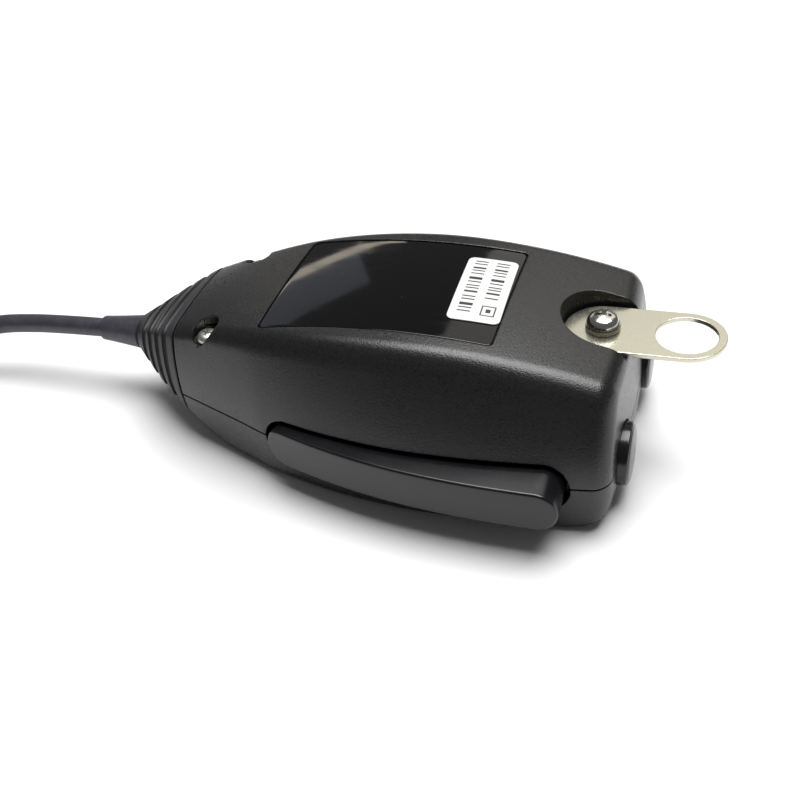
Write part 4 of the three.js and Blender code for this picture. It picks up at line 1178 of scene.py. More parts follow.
@dataclass
class RearCover:
    """The rear shell, with its panel, label, pocket, counterbores and openings."""

    form: CaseForm
    cutouts: Cutouts
    panel_length: float = 50.2
    panel_width: float = 34.5
    panel_centre: float = -1.7
    panel_corner: float = 1.2
    panel_below: float = 0.2
    panel_thickness: float = 0.8
    label_length: float = 10.9
    label_width: float = 23.4
    label_corner: float = 1.4
    label_from_end: float = 5.7
    label_aside: float = 0.6
    label_turn: float = 0.035
    label_thickness: float = 0.2
    label_clear: float = 0.05
    pad_wall: float = 1.8
    pad_thickness: float = 2.4
    boss_bottom: float = 20.0
    boss_radius: float = 4.2
    screw_boss: float = 4.3
    strokes: tuple[float, ...] = (0.34, 0.34, 0.62, 0.34, 0.34, 0.9, 0.34)
    spaces: tuple[float, ...] = (0.75, 1.1, 0.6, 0.85, 1.25)
    edge: float = 0.22

    def panel_outline(self, extra: float) -> list[Point2]:
        """The outline of the panel or, with extra, of its recess."""
        half = self.panel_length / 2 + extra
        return rounded_box(self.panel_centre - half, self.panel_centre + half, -self.panel_width / 2 - extra,
                           self.panel_width / 2 + extra, self.panel_corner)

    def shell(self) -> Piece:
        """Builds the rear shell.

        Returns:
            The piece.
        """
        form, cuts = self.form, self.cutouts
        low = form.parting + form.parting_gap / 2
        shell = form.body(0.0, "rear_cover")
        pad = Bench.raised("pad", form.moved(cuts.pocket(self.pad_wall)),
                           cuts.pocket_floor - self.pad_thickness, form.height + 5)
        inside = Bench.change(form.body(form.wall, "inside"), Cut.TAKE, pad)
        Bench.change(shell, Cut.TAKE, inside)
        Bench.change(shell, Cut.KEEP, Bench.block("over", (-120, -60, low), (60, 60, form.height + 10)))
        post = (cuts.post, 0, self.boss_bottom)
        boss_top = cuts.pocket_floor - self.pad_thickness / 2
        Bench.change(shell, Cut.JOIN, Bench.rod("boss", post, boss_top - self.boss_bottom, self.boss_radius))
        for side in (-1, 1):
            at = cuts.screw(side)
            boss = Bench.rod("boss", (*at, low + 0.15), cuts.counter_floor + 1 - low, self.screw_boss)
            Bench.change(shell, Cut.JOIN, Bench.change(boss, Cut.KEEP, form.body(0.0)))
            well = Bench.rod("bore", (*at, cuts.counter_floor), 14, cuts.counterbore, sides=72)
            Bench.change(shell, Cut.TAKE, well, Bench.rod("bore", (*at, 0), 40, cuts.screw_bore),
                         cuts.button_bore(side))
        Bench.change(shell, Cut.TAKE, form.slice("recess", self.panel_outline(cuts.gap), -1.0,
                                                 self.panel_below + self.panel_thickness + cuts.gap),
                     Bench.raised("pocket", form.moved(cuts.pocket()), cuts.pocket_floor, form.height + 5),
                     Bench.rod("bore", (cuts.post, 0, 10), 30, cuts.post_bore),
                     cuts.talk_slot(), cuts.boot_opening())
        return Bench.smooth(Bench.rounded(shell, self.edge))

    def panel(self) -> Piece:
        """Builds the glossy panel."""
        made = self.form.slice("gloss_panel", self.panel_outline(0), self.panel_below,
                               self.panel_below + self.panel_thickness)
        return Bench.smooth(Bench.rounded(made, 0.12))

    def label_outline(self, x0: float, x1: float, y0: float, y1: float, corner: float) -> list[Point2]:
        """A rounded rectangle on the label, turned with it.

        Args:
            x0: Its near end, from the label's middle.
            x1: Its far end.
            y0: Its near side.
            y1: Its far side.
            corner: The rounding.

        Returns:
            The outline from mid-length.
        """
        cos, sin = math.cos(self.label_turn), math.sin(self.label_turn)
        centre = self.panel_centre + self.panel_length / 2 - self.label_from_end
        return [(centre + x * cos - y * sin, self.label_aside + x * sin + y * cos)
                for x, y in rounded_box(x0, x1, y0, y1, corner, 6)]

    def label(self) -> Piece:
        """Builds the label's film."""
        half_x, half_y = self.label_length / 2, self.label_width / 2
        outline = self.label_outline(-half_x, half_x, -half_y, half_y, self.label_corner)
        low = self.panel_below - self.label_clear
        return Bench.smooth(self.form.slice("label", outline, low - self.label_thickness, low))

    def ink(self) -> Piece:
        """Builds the generic print: two rows of plain strokes and a small boxed dot."""
        bars = []
        for row, last in ((-2.4, -9.2), (2.3, -3.4)):
            y = self.label_width / 2 - 1.3
            k = 0
            while y > last:
                thick = self.strokes[k % len(self.strokes)]
                bars.append((row - 1.4, row + 1.4, y - thick, y))
                y -= thick + self.spaces[k % len(self.spaces)]
                k += 1
        x0, x1, y0, y1 = 1.0, 4.0, 2.2 - self.label_width / 2, 5.6 - self.label_width / 2
        line = 0.28
        bars += [(x0, x1, y0, y0 + line), (x0, x1, y1 - line, y1), (x0, x0 + line, y0 + line, y1 - line),
                 (x1 - line, x1, y0 + line, y1 - line), (x0 + 1.0, x1 - 1.0, y0 + 1.1, y1 - 1.1)]
        top = self.panel_below - self.label_clear - self.label_thickness
        sheet = None
        for k, (ax, bx, ay, by) in enumerate(bars):
            outline = self.form.moved(self.label_outline(ax, bx, ay, by, 0.08))
            bar = Bench.raised(f"bar_{k}", outline, self.form.parting + 4, self.form.height + 5)
            sheet = bar if sheet is None else Bench.joined(sheet, bar)
        sheet.name = "label_print"
        Bench.change(sheet, Cut.KEEP, self.form.body(top - 0.03))
        Bench.change(sheet, Cut.TAKE, self.form.body(top + 0.01))
        return Bench.smooth(sheet)

    def build(self) -> list[Piece]:
        """Builds and settles the cover's pieces.

        Returns:
            The pieces.
        """
        shell, panel, label, ink = self.shell(), self.panel(), self.label(), self.ink()
        settle(shell, "housing", Slot.CASE, "rear_shell")
        settle(panel, "housing", Slot.GLOSS, "rear_panel")
        settle(label, "housing", Slot.LABEL, "data_label")
        settle(ink, "housing", Slot.LABEL, finish=INK)
        return [shell, panel, label, ink]


@dataclass
class FrontCover:
    """The front shell, with its keypad well, key windows, sound slots, posts and cable saddle."""

    form: CaseForm
    cutouts: Cutouts
    well_depth: float = 1.2
    well_corner: float = 4.0
    window_gap: float = 0.35
    window_corner: float = 1.2
    slot_count: int = 5
    slot_width: float = 1.3
    slot_pitch: float = 3.2
    slot_reach: float = 8.0
    mic_from_post: float = 14.7
    plate_margin: Point2 = (3.8, 3.2)
    well_margin: Point2 = (2.5, 2.0)
    screw_reach: float = 19.3
    post_top: float = 19.5
    post_radius: float = 3.3
    screw_post: float = 3.2
    slim_post: float = 2.3
    edge: float = 0.22

    def shell(self) -> Piece:
        """Builds the front shell.

        Returns:
            The piece.
        """
        form, cuts = self.form, self.cutouts
        high = form.parting - form.parting_gap / 2
        shell = Bench.change(form.body(0.0, "front_cover"), Cut.KEEP,
                             Bench.block("under", (-120, -60, -5), (60, 60, high)))
        Bench.change(shell, Cut.TAKE, form.body(form.wall, "inside"))
        keys = [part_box(f"key_{row}_{line}") for row in range(1, 5) for line in range(1, 5)]
        low, top = [[pick(k[end][n] for k in keys) / MM for n in range(2)]
                    for end, pick in ((0, min), (1, max))]
        well_roof = self.well_depth + form.wall
        floor = self.round_keys(low, top, self.plate_margin)
        plate = Bench.raised("plate", floor, form.wall / 2, well_roof)
        Bench.change(shell, Cut.JOIN, Bench.change(plate, Cut.KEEP, form.body(0.0)), self.posts(high))
        well = self.round_keys(low, top, self.well_margin)
        Bench.change(shell, Cut.TAKE, Bench.raised("well", well, -1, self.well_depth))
        Bench.change(shell, Cut.TAKE, self.windows(keys), self.sound_slots(), cuts.button_bore(-1),
                     cuts.button_bore(1))
        for side in (-1, 1):
            at = (*cuts.screw(side), cuts.counter_floor - self.screw_reach)
            Bench.change(shell, Cut.TAKE, Bench.rod("bore", at, 8, cuts.screw_bore))
        Bench.change(shell, Cut.TAKE, Bench.rod("bore", (cuts.post, 0, 13.1), 12, cuts.post_bore),
                     cuts.talk_slot(), cuts.boot_opening())
        return Bench.smooth(Bench.rounded(shell, self.edge))

    def round_keys(self, low: Sequence[float], high: Sequence[float], margin: Point2) -> list[Point2]:
        """The outline of a rounded field that leaves a margin round all the keys."""
        return rounded_box(low[0] - margin[0], high[0] + margin[0], low[1] - margin[1], high[1] + margin[1],
                           self.well_corner)

    def windows(self, keys: Sequence[tuple[Vector, Vector]]) -> Piece:
        """The cutter of all the key windows.

        Args:
            keys: The lowest and highest corners of the keys, flanges included.

        Returns:
            The cutter.
        """
        made = None
        out = self.window_gap - Keypad.flange
        for low, high in keys:
            outline = rounded_box(low.x / MM - out, high.x / MM + out, low.y / MM - out, high.y / MM + out,
                                  self.window_corner)
            window = Bench.raised("windows", outline, -1, 5)
            made = window if made is None else Bench.joined(made, window)
        return made

    def sound_slots(self) -> Piece:
        """The cutter of the sound slots, which fill a round field."""
        middle = self.cutouts.post - self.mic_from_post
        made = None
        for k in range(self.slot_count):
            offset = (k - (self.slot_count - 1) / 2) * self.slot_pitch
            reach = math.sqrt(self.slot_reach**2 - offset**2) - self.slot_width / 2
            radius = self.slot_width / 2
            outline = [(middle + offset - y, x) for x, y in stadium(-reach, reach, 0, radius, 10)]
            slot = Bench.raised("slots", outline, -1, self.form.wall + 1)
            made = slot if made is None else Bench.joined(made, slot)
        return made

    def posts(self, high: float) -> Piece:
        """The posts and the cable's saddle that stand on the floor.

        Args:
            high: The height of the shell's rim.

        Returns:
            The posts as one body.
        """
        form, cuts = self.form, self.cutouts
        made = Bench.rod("posts", (cuts.post, 0, 0.5), self.post_top - 0.5, self.post_radius)
        for side in (-1, 1):
            Bench.change(made, Cut.JOIN,
                         Bench.rod("post", (*cuts.screw(side), 2), high - 0.15 - 2, self.screw_post),
                         Bench.rod("post", (form.seam + 7, side * 6.0, 2), 15.5, self.slim_post))
        saddle = Bench.block("saddle", (form.seam + 4.5, -6, 3), (form.seam + 9.5, 6, 12.8))
        Bench.change(made, Cut.JOIN, saddle)
        for k in range(1, 5):
            low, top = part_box(f"board_screw_{k}")
            middle = (low + top) / 2 / MM
            Bench.change(made, Cut.JOIN, Bench.rod("post", (middle.x, middle.y, 0.5), 5.7, self.slim_post))
        return Bench.change(made, Cut.KEEP, form.body(0.0))

    def build(self) -> list[Piece]:
        """Builds and settles the shell."""
        shell = self.shell()
        settle(shell, "housing", Slot.CASE, "front_shell")
        return [shell]


# -------- fasteners and hanger


@dataclass
class CrossScrew:
    """A pan-head screw with a tapered cross recess, a short thread relief and turns of thread."""

    head: float
    head_height: float
    shank: float
    length: float
    pitch: float = 0.7
    dome: float = 0.45
    wing: float = 0.62
    arm: float = 0.15

    def build(self, name: str, x: float, y: float, seat: float) -> Piece:
        """Builds the screw with its head up.

        Args:
            name: The piece's name.
            x: The axis's x.
            y: The axis's y.
            seat: The height of the head's underside.

        Returns:
            The piece.
        """
        made = Bench.spun(name, self._profile(), (x, y, seat), Axis.Z, 64)
        made = Bench.rounded(made, self.head * 0.03, 2, 45)
        recess = Bench.change(self._arm(x, y, seat, 0), Cut.JOIN, self._arm(x, y, seat, 1))
        Bench.change(made, Cut.TAKE, recess)
        return Bench.smooth(made, 32)

    def _profile(self) -> list[Point2]:
        """Returns the outline of head and shank, along the axis from the tip."""
        tip = -self.length
        points = [(tip, 0), (tip, self.shank * 0.55), (tip + 0.6, self.shank * 0.86)]
        turns = int((self.length - 2.2) / self.pitch)
        for k in range(turns):
            low = tip + 0.7 + k * self.pitch
            points += [(low, self.shank * 0.84), (low + self.pitch * 0.45, self.shank)]
        points += [(-1.0, self.shank * 0.84), (0, self.shank * 0.84), (0, self.head * 0.95)]
        rim = self.head_height * (1 - self.dome)
        for k in range(9):
            angle = k / 8 * math.pi / 2
            points.append((rim * 0.35 + (self.head_height - rim * 0.35) * math.sin(angle),
                           self.head * math.cos(angle) ** 0.62 if k < 8 else 0))
        return points

    def _arm(self, x: float, y: float, seat: float, turn: int) -> Piece:
        """One tapered bar of the cross recess.

        Args:
            x: The axis's x.
            y: The axis's y.
            seat: The height of the head's underside.
            turn: 0 for the bar along X, 1 for the bar along Y.

        Returns:
            The cutter.
        """
        half, thin = self.head * self.wing, self.head * self.arm
        low, high = self.head_height * 0.3, self.head_height * 1.3
        across, deep = (half, thin) if turn == 0 else (thin, half)
        made = Bench.block("arm", (x - across, y - deep, seat + low), (x + across, y + deep, seat + high))
        for vertex in made.data.vertices:
            if vertex.co.z < (seat + self.head_height * 0.8) * MM:
                vertex.co.x = (x + (vertex.co.x / MM - x) * (0.42 if turn == 0 else 0.8)) * MM
                vertex.co.y = (y + (vertex.co.y / MM - y) * (0.42 if turn == 1 else 0.8)) * MM
        return made


@dataclass
class Fasteners:
    """The two case screws, which show at the bottom of their counterbores, and the small ones inside."""

    case: CrossScrew = field(default_factory=lambda: CrossScrew(2.5, 1.9, 1.35, 19, 0.9))
    clamp: CrossScrew = field(default_factory=lambda: CrossScrew(2.0, 1.4, 1.0, 7, 0.5))
    board: CrossScrew = field(default_factory=lambda: CrossScrew(1.9, 1.4, 1.0, 5, 0.5))

    def build(self) -> list[Piece]:
        """Builds and settles the screws where the frame has them.

        Returns:
            The pieces.
        """
        kinds = {"case_screw_near": self.case, "case_screw_far": self.case, "clamp_screw_near": self.clamp,
                 "clamp_screw_far": self.clamp, **{f"board_screw_{k}": self.board for k in range(1, 5)}}
        pieces = []
        for node, kind in kinds.items():
            low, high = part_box(node)
            middle = (low + high) / 2 / MM
            made = kind.build(f"{node}_finished", middle.x, middle.y, high.z / MM - kind.head_height)
            settle(made, "housing", Slot.SCREW, node)
            pieces.append(made)
        return pieces


@dataclass
class Hanger:
    """The nickel tab with its big hole, the spring washer and the round-headed screw."""

    form: CaseForm
    cutouts: Cutouts
    half_width: float = 7.95
    reach: float = 16.85
    hole: float = 6.2
    top: float = 29.4
    thickness: float = 1.0
    screw_hole: float = 2.2
    washer_radius: float = 3.6
    washer_thickness: float = 0.9
    edge: float = 0.16
    screw: CrossScrew = field(default_factory=lambda: CrossScrew(3.4, 2.3, 1.9, 16, 0.8, 0.6))

    def build(self) -> list[Piece]:
        """Builds and settles the hanger's pieces.

        Returns:
            The pieces.
        """
        post = self.cutouts.post
        tip = post + self.reach
        outline = stadium(post, tip, 0, self.half_width, 48)
        tab = Bench.raised("hanger", outline, self.top - self.thickness, self.top)
        Bench.change(tab, Cut.TAKE, Bench.rod("hole", (tip, 0, self.top - 5), 10, self.hole, sides=112),
                     Bench.rod("hole", (post, 0, self.top - 5), 10, self.screw_hole))
        Bench.smooth(Bench.rounded(tab, self.edge, 3))
        seat = self.top + 0.05
        rim = self.washer_radius
        profile = [(0, self.screw_hole), (0, rim - 0.08), (0.08, rim), (self.washer_thickness - 0.1, rim),
                   (self.washer_thickness, rim - 0.1), (self.washer_thickness, self.screw_hole)]
        washer = Bench.smooth(Bench.spun("washer", profile, (post, 0, seat), Axis.Z, 72))
        screw = self.screw.build("tab_screw", post, 0, seat + self.washer_thickness + 0.05)
        settle(tab, "housing", Slot.NICKEL, "hanger_tab")
        settle(washer, "housing", Slot.NICKEL, "hanger_washer")
        bright = Brushed("bright_nickel", (0.80, 0.78, 0.74), (0.62, 0.60, 0.57), 0.16,
                         centre=(post * MM, 0, 0.03))
        settle(screw, "housing", Slot.NICKEL, "hanger_screw", finish=bright)
        return [tab, washer, screw]


# -------- press-to-talk bar and buttons


@dataclass
class TalkBar:
    """The long bar in the near flank: a little proud at the cable end and more at the top end."""

    form: CaseForm
    cutouts: Cutouts
    proud_start: float = 1.5
    proud_end: float = 6.9
    wall_clear: float = 0.4
    lip_height: float = 6.0
    lip_thickness: float = 1.6
    lip_reach: float = 1.8
    pivot_from_start: float = 4.5
    pivot_inset: float = 5.6
    ear: float = 2.5
    bore: float = 1.08
    edge: float = 0.6
    steps: int = 72

    def slab(self, name: str, x0: float, x1: float, outer: float, inner: float, low: float,
             high: float) -> Piece:
        """An upright slab along the flank.

        Args:
            name: The object's name.
            x0: Its first end, from mid-length.
            x1: Its last end.
            outer: How far its outer face lies inside the flank's line.
            inner: How far its inner face does.
            low: The height of its underside.
            high: The height of its top.

        Returns:
            The slab.
        """
        places = [x0 + (x1 - x0) * k / 12 for k in range(13)]
        outline = [(x, outer - self.form.side(x)) for x in places]
        outline += [(x, inner - self.form.side(x)) for x in reversed(places)]
        return Bench.raised(name, self.form.moved(outline), low, high)

    def outline(self, inset: float) -> list[Point2]:
        """The bar's outline in X and Z, drawn in by inset, always with as many points."""
        flat = self.cutouts.talk_height / 2
        x0, x1, z = self.cutouts.talk_start + flat, self.cutouts.talk_end - flat, self.cutouts.talk_centre
        run = [x0 + (x1 - x0) * k / self.steps for k in range(1, self.steps)]
        return (arc(x1, z, flat - inset, -1, 1, 24) + [(x, z + flat - inset) for x in reversed(run)]
                + arc(x0, z, flat - inset, 1, 3, 24) + [(x, z - flat + inset) for x in run])

    def outer(self, x: float) -> float:
        """The y of the bar's outer face at x."""
        start, end = self.cutouts.talk_start, self.cutouts.talk_end
        share = (x - start) / (end - start)
        lift = (self.proud_end - self.proud_start) * max(0.0, share) ** 1.25
        return -self.proud_start - lift - self.form.side(x)

    def body(self, deep: float) -> Piece:
        """Builds the plain bar, with its outer edge rounded.

        Args:
            deep: How far its back lies inside the flank's line.

        Returns:
            The closed body.
        """
        flat = self.cutouts.talk_height / 2
        rings = [[(x, deep - self.form.side(x), z) for x, z in self.outline(flat * share)]
                 for share in (1.0, 0.66, 0.33, 0.0)]
        corner = [math.pi / 2 * k / 6 for k in range(7)]
        depths = [(self.edge * (1 - math.cos(a)), self.edge * (1 - math.sin(a))) for a in corner]
        depths += [(self.edge + (flat - self.edge) * share, 0.0) for share in (0.1, 0.3, 0.55, 0.8, 1.0)]
        for inset, back in depths:
            rings.append([(x, self.outer(x) + back, z) for x, z in self.outline(inset)])
        placed = [[(x + self.form.middle, y, z) for x, y, z in ring] for ring in rings]
        return Bench.skin("talk_bar", placed, caps=False)

    def build(self) -> list[Piece]:
        """Builds and settles the bar.

        Returns:
            The piece.
        """
        cuts, form = self.cutouts, self.form
        start, end = cuts.talk_start, cuts.talk_end
        deep = form.wall + self.wall_clear
        bar = self.body(deep + 0.4)
        low, high = cuts.talk_centre - self.lip_height / 2, cuts.talk_centre + self.lip_height / 2
        inner = deep + self.lip_thickness
        lip = self.slab("lip", end - 8, end + self.lip_reach, deep + 0.4, inner, low, high)
        web = self.slab("web", end - 16, end - 5, 1.0, inner, low, high)
        x = start + self.pivot_from_start
        y = self.pivot_inset - form.side(x)
        low, tall = cuts.talk_centre - cuts.talk_height / 2 + 1, cuts.talk_height - 2
        ear = Bench.rod("ear", (form.middle + x, y, low), tall, self.ear)
        arm = Bench.block("arm", (form.middle + x - self.ear, y - self.pivot_inset + 2, low),
                          (form.middle + x + self.ear, y, low + tall))
        Bench.change(bar, Cut.JOIN, lip, web, ear, arm)
        Bench.change(bar, Cut.TAKE, Bench.rod("bore", (form.middle + x, y, 0), 30, self.bore))
        Bench.smooth(bar, 30)
        settle(bar, "ptt", Slot.SATIN, "ptt_bar")
        return [bar]


@dataclass
class EndButton:
    """A round button in the top end, with a plain raised triangle on its domed face."""

    form: CaseForm
    cutouts: Cutouts
    dome: float = 0.6
    edge: float = 0.45
    mark: float = 2.0
    mark_base: float = 0.55
    mark_edge: float = 0.12
    stem_radius: float = 2.0
    stem_length: float = 2.0
    wing: float = 1.1
    wing_height: float = 9.0
    wing_thickness: float = 1.0

    def build(self, name: str, side: int, points_up: bool) -> Piece:
        """Builds and settles one button.

        Args:
            name: Its body's name.
            side: -1 for the near one, 1 for the far one.
            points_up: Whether the triangle points towards the rear.

        Returns:
            The piece.
        """
        cuts = self.cutouts
        low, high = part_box(f"{name}_button")
        inner = low.x / MM + self.stem_length
        radius = cuts.button_radius
        face = high.x / MM - self.dome
        y = side * cuts.button_y
        profile = [(inner, 0), (inner, radius), (face - self.edge, radius)]
        profile += [(face - self.edge + self.edge * math.sin(a), radius - self.edge * (1 - math.cos(a)))
                    for a in (math.pi / 10, math.pi / 5, math.pi * 0.3, math.pi * 0.4, math.pi / 2)]
        flat = radius - self.edge
        profile += [(face + self.dome * math.sin(k / 10 * math.pi / 2), flat * math.cos(k / 10 * math.pi / 2))
                    for k in range(1, 10)]
        profile += [(face + self.dome, 0)]
        cap = Bench.spun(f"{name}_cap", profile, (0, y, cuts.button_height), Axis.X, 96)
        tip = self.mark if points_up else -self.mark
        base = -tip * self.mark_base
        triangle = [(y - self.mark, base), (y + self.mark, base), (y, tip)]
        outline = [(a, b + cuts.button_height) for a, b in triangle]
        turn = Matrix(((0, 0, 1, 0), (1, 0, 0, 0), (0, 1, 0, 0), (0, 0, 0, 1)))
        mark = Bench.raised("mark", outline, face, high.x / MM, turn)
        Bench.rounded(mark, self.mark_edge, 3)
        Bench.change(cap, Cut.JOIN, mark)
        wing, tall = radius + self.wing, self.wing_height / 2
        plate = Bench.block("wings", (inner, y - wing, cuts.button_height - tall),
                            (inner + self.wing_thickness, y + wing, cuts.button_height + tall))
        stem = Bench.rod("stem", (inner - self.stem_length, y, cuts.button_height), self.stem_length + 0.5,
                         self.stem_radius, Axis.X)
        Bench.change(cap, Cut.JOIN, plate, stem)
        Bench.smooth(cap, 30)
        settle(cap, name, Slot.SATIN, f"{name}_button")
        return cap


# -------- keypad


@dataclass
class Keypad:
    """Sixteen rubber keys with plain digits and letters, in four rows."""

    flange: float = 0.7
    flange_thickness: float = 0.8
    corner: float = 1.2
    edge: float = 0.35
    letter: float = 4.2
    letter_thickness: float = 0.05
    legends: tuple[str, ...] = ("*0#D", "789C", "456B", "123A")

    def cap(self, name: str, low: Vector, high: Vector) -> Piece:
        """Builds one key.

        Args:
            name: The piece's name.
            low: Its lowest corner in millimetres, flange included.
            high: Its highest corner.

        Returns:
            The piece.
        """
        f = self.flange
        outline = rounded_box(low.x + f, high.x - f, low.y + f, high.y - f, self.corner)
        made = Bench.raised(name, outline, low.z, high.z - 0.2)
        Bench.rounded(made, self.edge, 4, 50)
        base = rounded_box(low.x, high.x, low.y, high.y, self.corner + f)
        Bench.change(made, Cut.JOIN, Bench.raised("flange", base, high.z - self.flange_thickness, high.z))
        return Bench.smooth(made, 35)

    def legend(self, text: str, name: str, x: float, y: float, z: float) -> Piece:
        """Builds a key's printed sign, read from below with the top end up.

        Args:
            text: The sign.
            name: The piece's name.
            x: The key's middle.
            y: The key's middle.
            z: The height of the key's face.

        Returns:
            The piece.
        """
        bpy.ops.object.select_all(action="DESELECT")
        bpy.ops.object.text_add()
        made = bpy.context.object
        made.data.body = text
        made.data.size = self.letter * MM
        made.data.align_x = "CENTER"
        made.data.align_y = "CENTER"
        made.data.extrude = self.letter_thickness / 2 * MM
        made.data.resolution_u = 4
        bpy.ops.object.convert(target="MESH")
        made = bpy.context.object
        made.name = name
        turn = Matrix(((0, 1, 0, x * MM), (1, 0, 0, y * MM), (0, 0, -1, (z - 0.01) * MM), (0, 0, 0, 1)))
        made.data.transform(turn)
        Bench.edit(made)
        bpy.ops.mesh.remove_doubles(threshold=1e-6)
        Bench.outward()
        return made

    def build(self) -> list[Piece]:
        """Builds and settles the keys and their signs.

        Returns:
            The pieces.
        """
        pieces = []
        for row, signs in enumerate(self.legends, 1):
            for line, sign in enumerate(signs, 1):
                node = f"key_{row}_{line}"
                low, high = (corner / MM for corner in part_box(node))
                cap = self.cap(f"{node}_cap", low, high)
                middle = (low + high) / 2
                mark = self.legend(sign, f"{node}_sign", middle.x, middle.y, low.z)
                settle(cap, node, Slot.KEY, node)
                settle(mark, node, Slot.KEY, finish=LEGEND)
                pieces += [cap, mark]
        return pieces


# -------- cable entry and cord


@dataclass
class CableEntry:
    """The ribbed rubber boot between the case and the cable, and the tapered sleeve at its tip."""

    form: CaseForm
    cutouts: Cutouts
    length: float = 17.6
    gap: float = 0.3
    tip: float = 4.3
    fullness: float = 0.22
    grooves: int = 4
    groove_width: float = 1.5
    groove_depth: float = 1.1
    first_groove: float = 3.4
    groove_pitch: float = 3.3
    bore: float = 2.75
    sleeve_length: float = 11.3
    sleeve_base: float = 4.1
    sleeve_tip: float = 3.0

    def drawn_in(self, along: float) -> float:
        """How far the boot's skin is drawn in at a distance from the case.

        Args:
            along: The distance.

        Returns:
            The depth of a groove there, with round lips and a round floor.
        """
        depth = 0.0
        for k in range(self.grooves):
            off = abs(along - self.first_groove - k * self.groove_pitch) / (self.groove_width * 0.62)
            if off < 1:
                depth = self.groove_depth * math.cos(off * math.pi / 2) ** 0.7
        ends = min(along, self.length - along)
        if ends < 0.5:
            depth += 0.5 * (1 - math.sqrt(max(0.0, 1 - (1 - ends / 0.5) ** 2)))
        return depth

    def boot(self) -> Piece:
        """Builds the boot.

        Returns:
            The piece.
        """
        form, height = self.form, self.cutouts.cable_height
        seam = form.seam
        section = form.ring(-form.half, 0)
        steps = 132
        rings = []
        for k in range(steps + 1):
            share = 1 - k / steps
            eased = share * (1 - self.fullness + self.fullness * share)
            x = seam - self.gap - share * (self.length - self.gap)
            ring = []
            for y, z in section:
                reach = math.hypot(y, z - height)
                wanted = reach + (self.tip - reach) * eased - self.drawn_in(share * self.length)
                ring.append((x, y * wanted / reach, height + (z - height) * wanted / reach))
            rings.append(ring)
        made = Bench.skin("boot", rings)
        inside = seam + form.wall + self.gap
        neck = Bench.block("neck", (seam - 1.3, -8, height - 6), (inside + 1.6, 8, height + 6))
        flange = Bench.block("flange", (inside, -10, height - 7.75), (inside + 1.6, 10, height + 7.75))
        Bench.change(made, Cut.JOIN, neck, flange)
        Bench.change(made, Cut.TAKE, Bench.rod("bore", (seam - 30, 0, height), 60, self.bore, Axis.X))
        return Bench.smooth(made, 40)

    def sleeve(self) -> Piece:
        """Builds the sleeve, with a small bead at its tip.

        Returns:
            The piece.
        """
        height = self.cutouts.cable_height
        start = self.form.seam - self.length - self.sleeve_length
        end = start + self.sleeve_length - self.gap
        profile = [(start, self.bore), (start, self.sleeve_tip - 0.4)]
        profile += [(start + 0.4 * (1 - math.cos(a)), self.sleeve_tip - 0.4 + 0.4 * math.sin(a))
                    for a in (0.4, 0.8, 1.2, math.pi / 2)]
        for k in range(1, 13):
            share = k / 12
            swell = self.sleeve_tip + (self.sleeve_base - self.sleeve_tip) * share**1.15
            profile.append((start + 0.4 + (end - 0.3 - start - 0.4) * share, swell))
        profile += [(end, self.sleeve_base - 0.3), (end, self.bore)]
        return Bench.smooth(Bench.spun("sleeve", profile, (0, 0, height), Axis.X, 64), 40)

    def build(self) -> list[Piece]:
        """Builds and settles the boot and the sleeve."""
        boot, sleeve = self.boot(), self.sleeve()
        settle(boot, "housing", Slot.BOOT, "cable_boot")
        settle(sleeve, "housing", Slot.JACKET, "cable_sleeve")
        return [boot, sleeve]


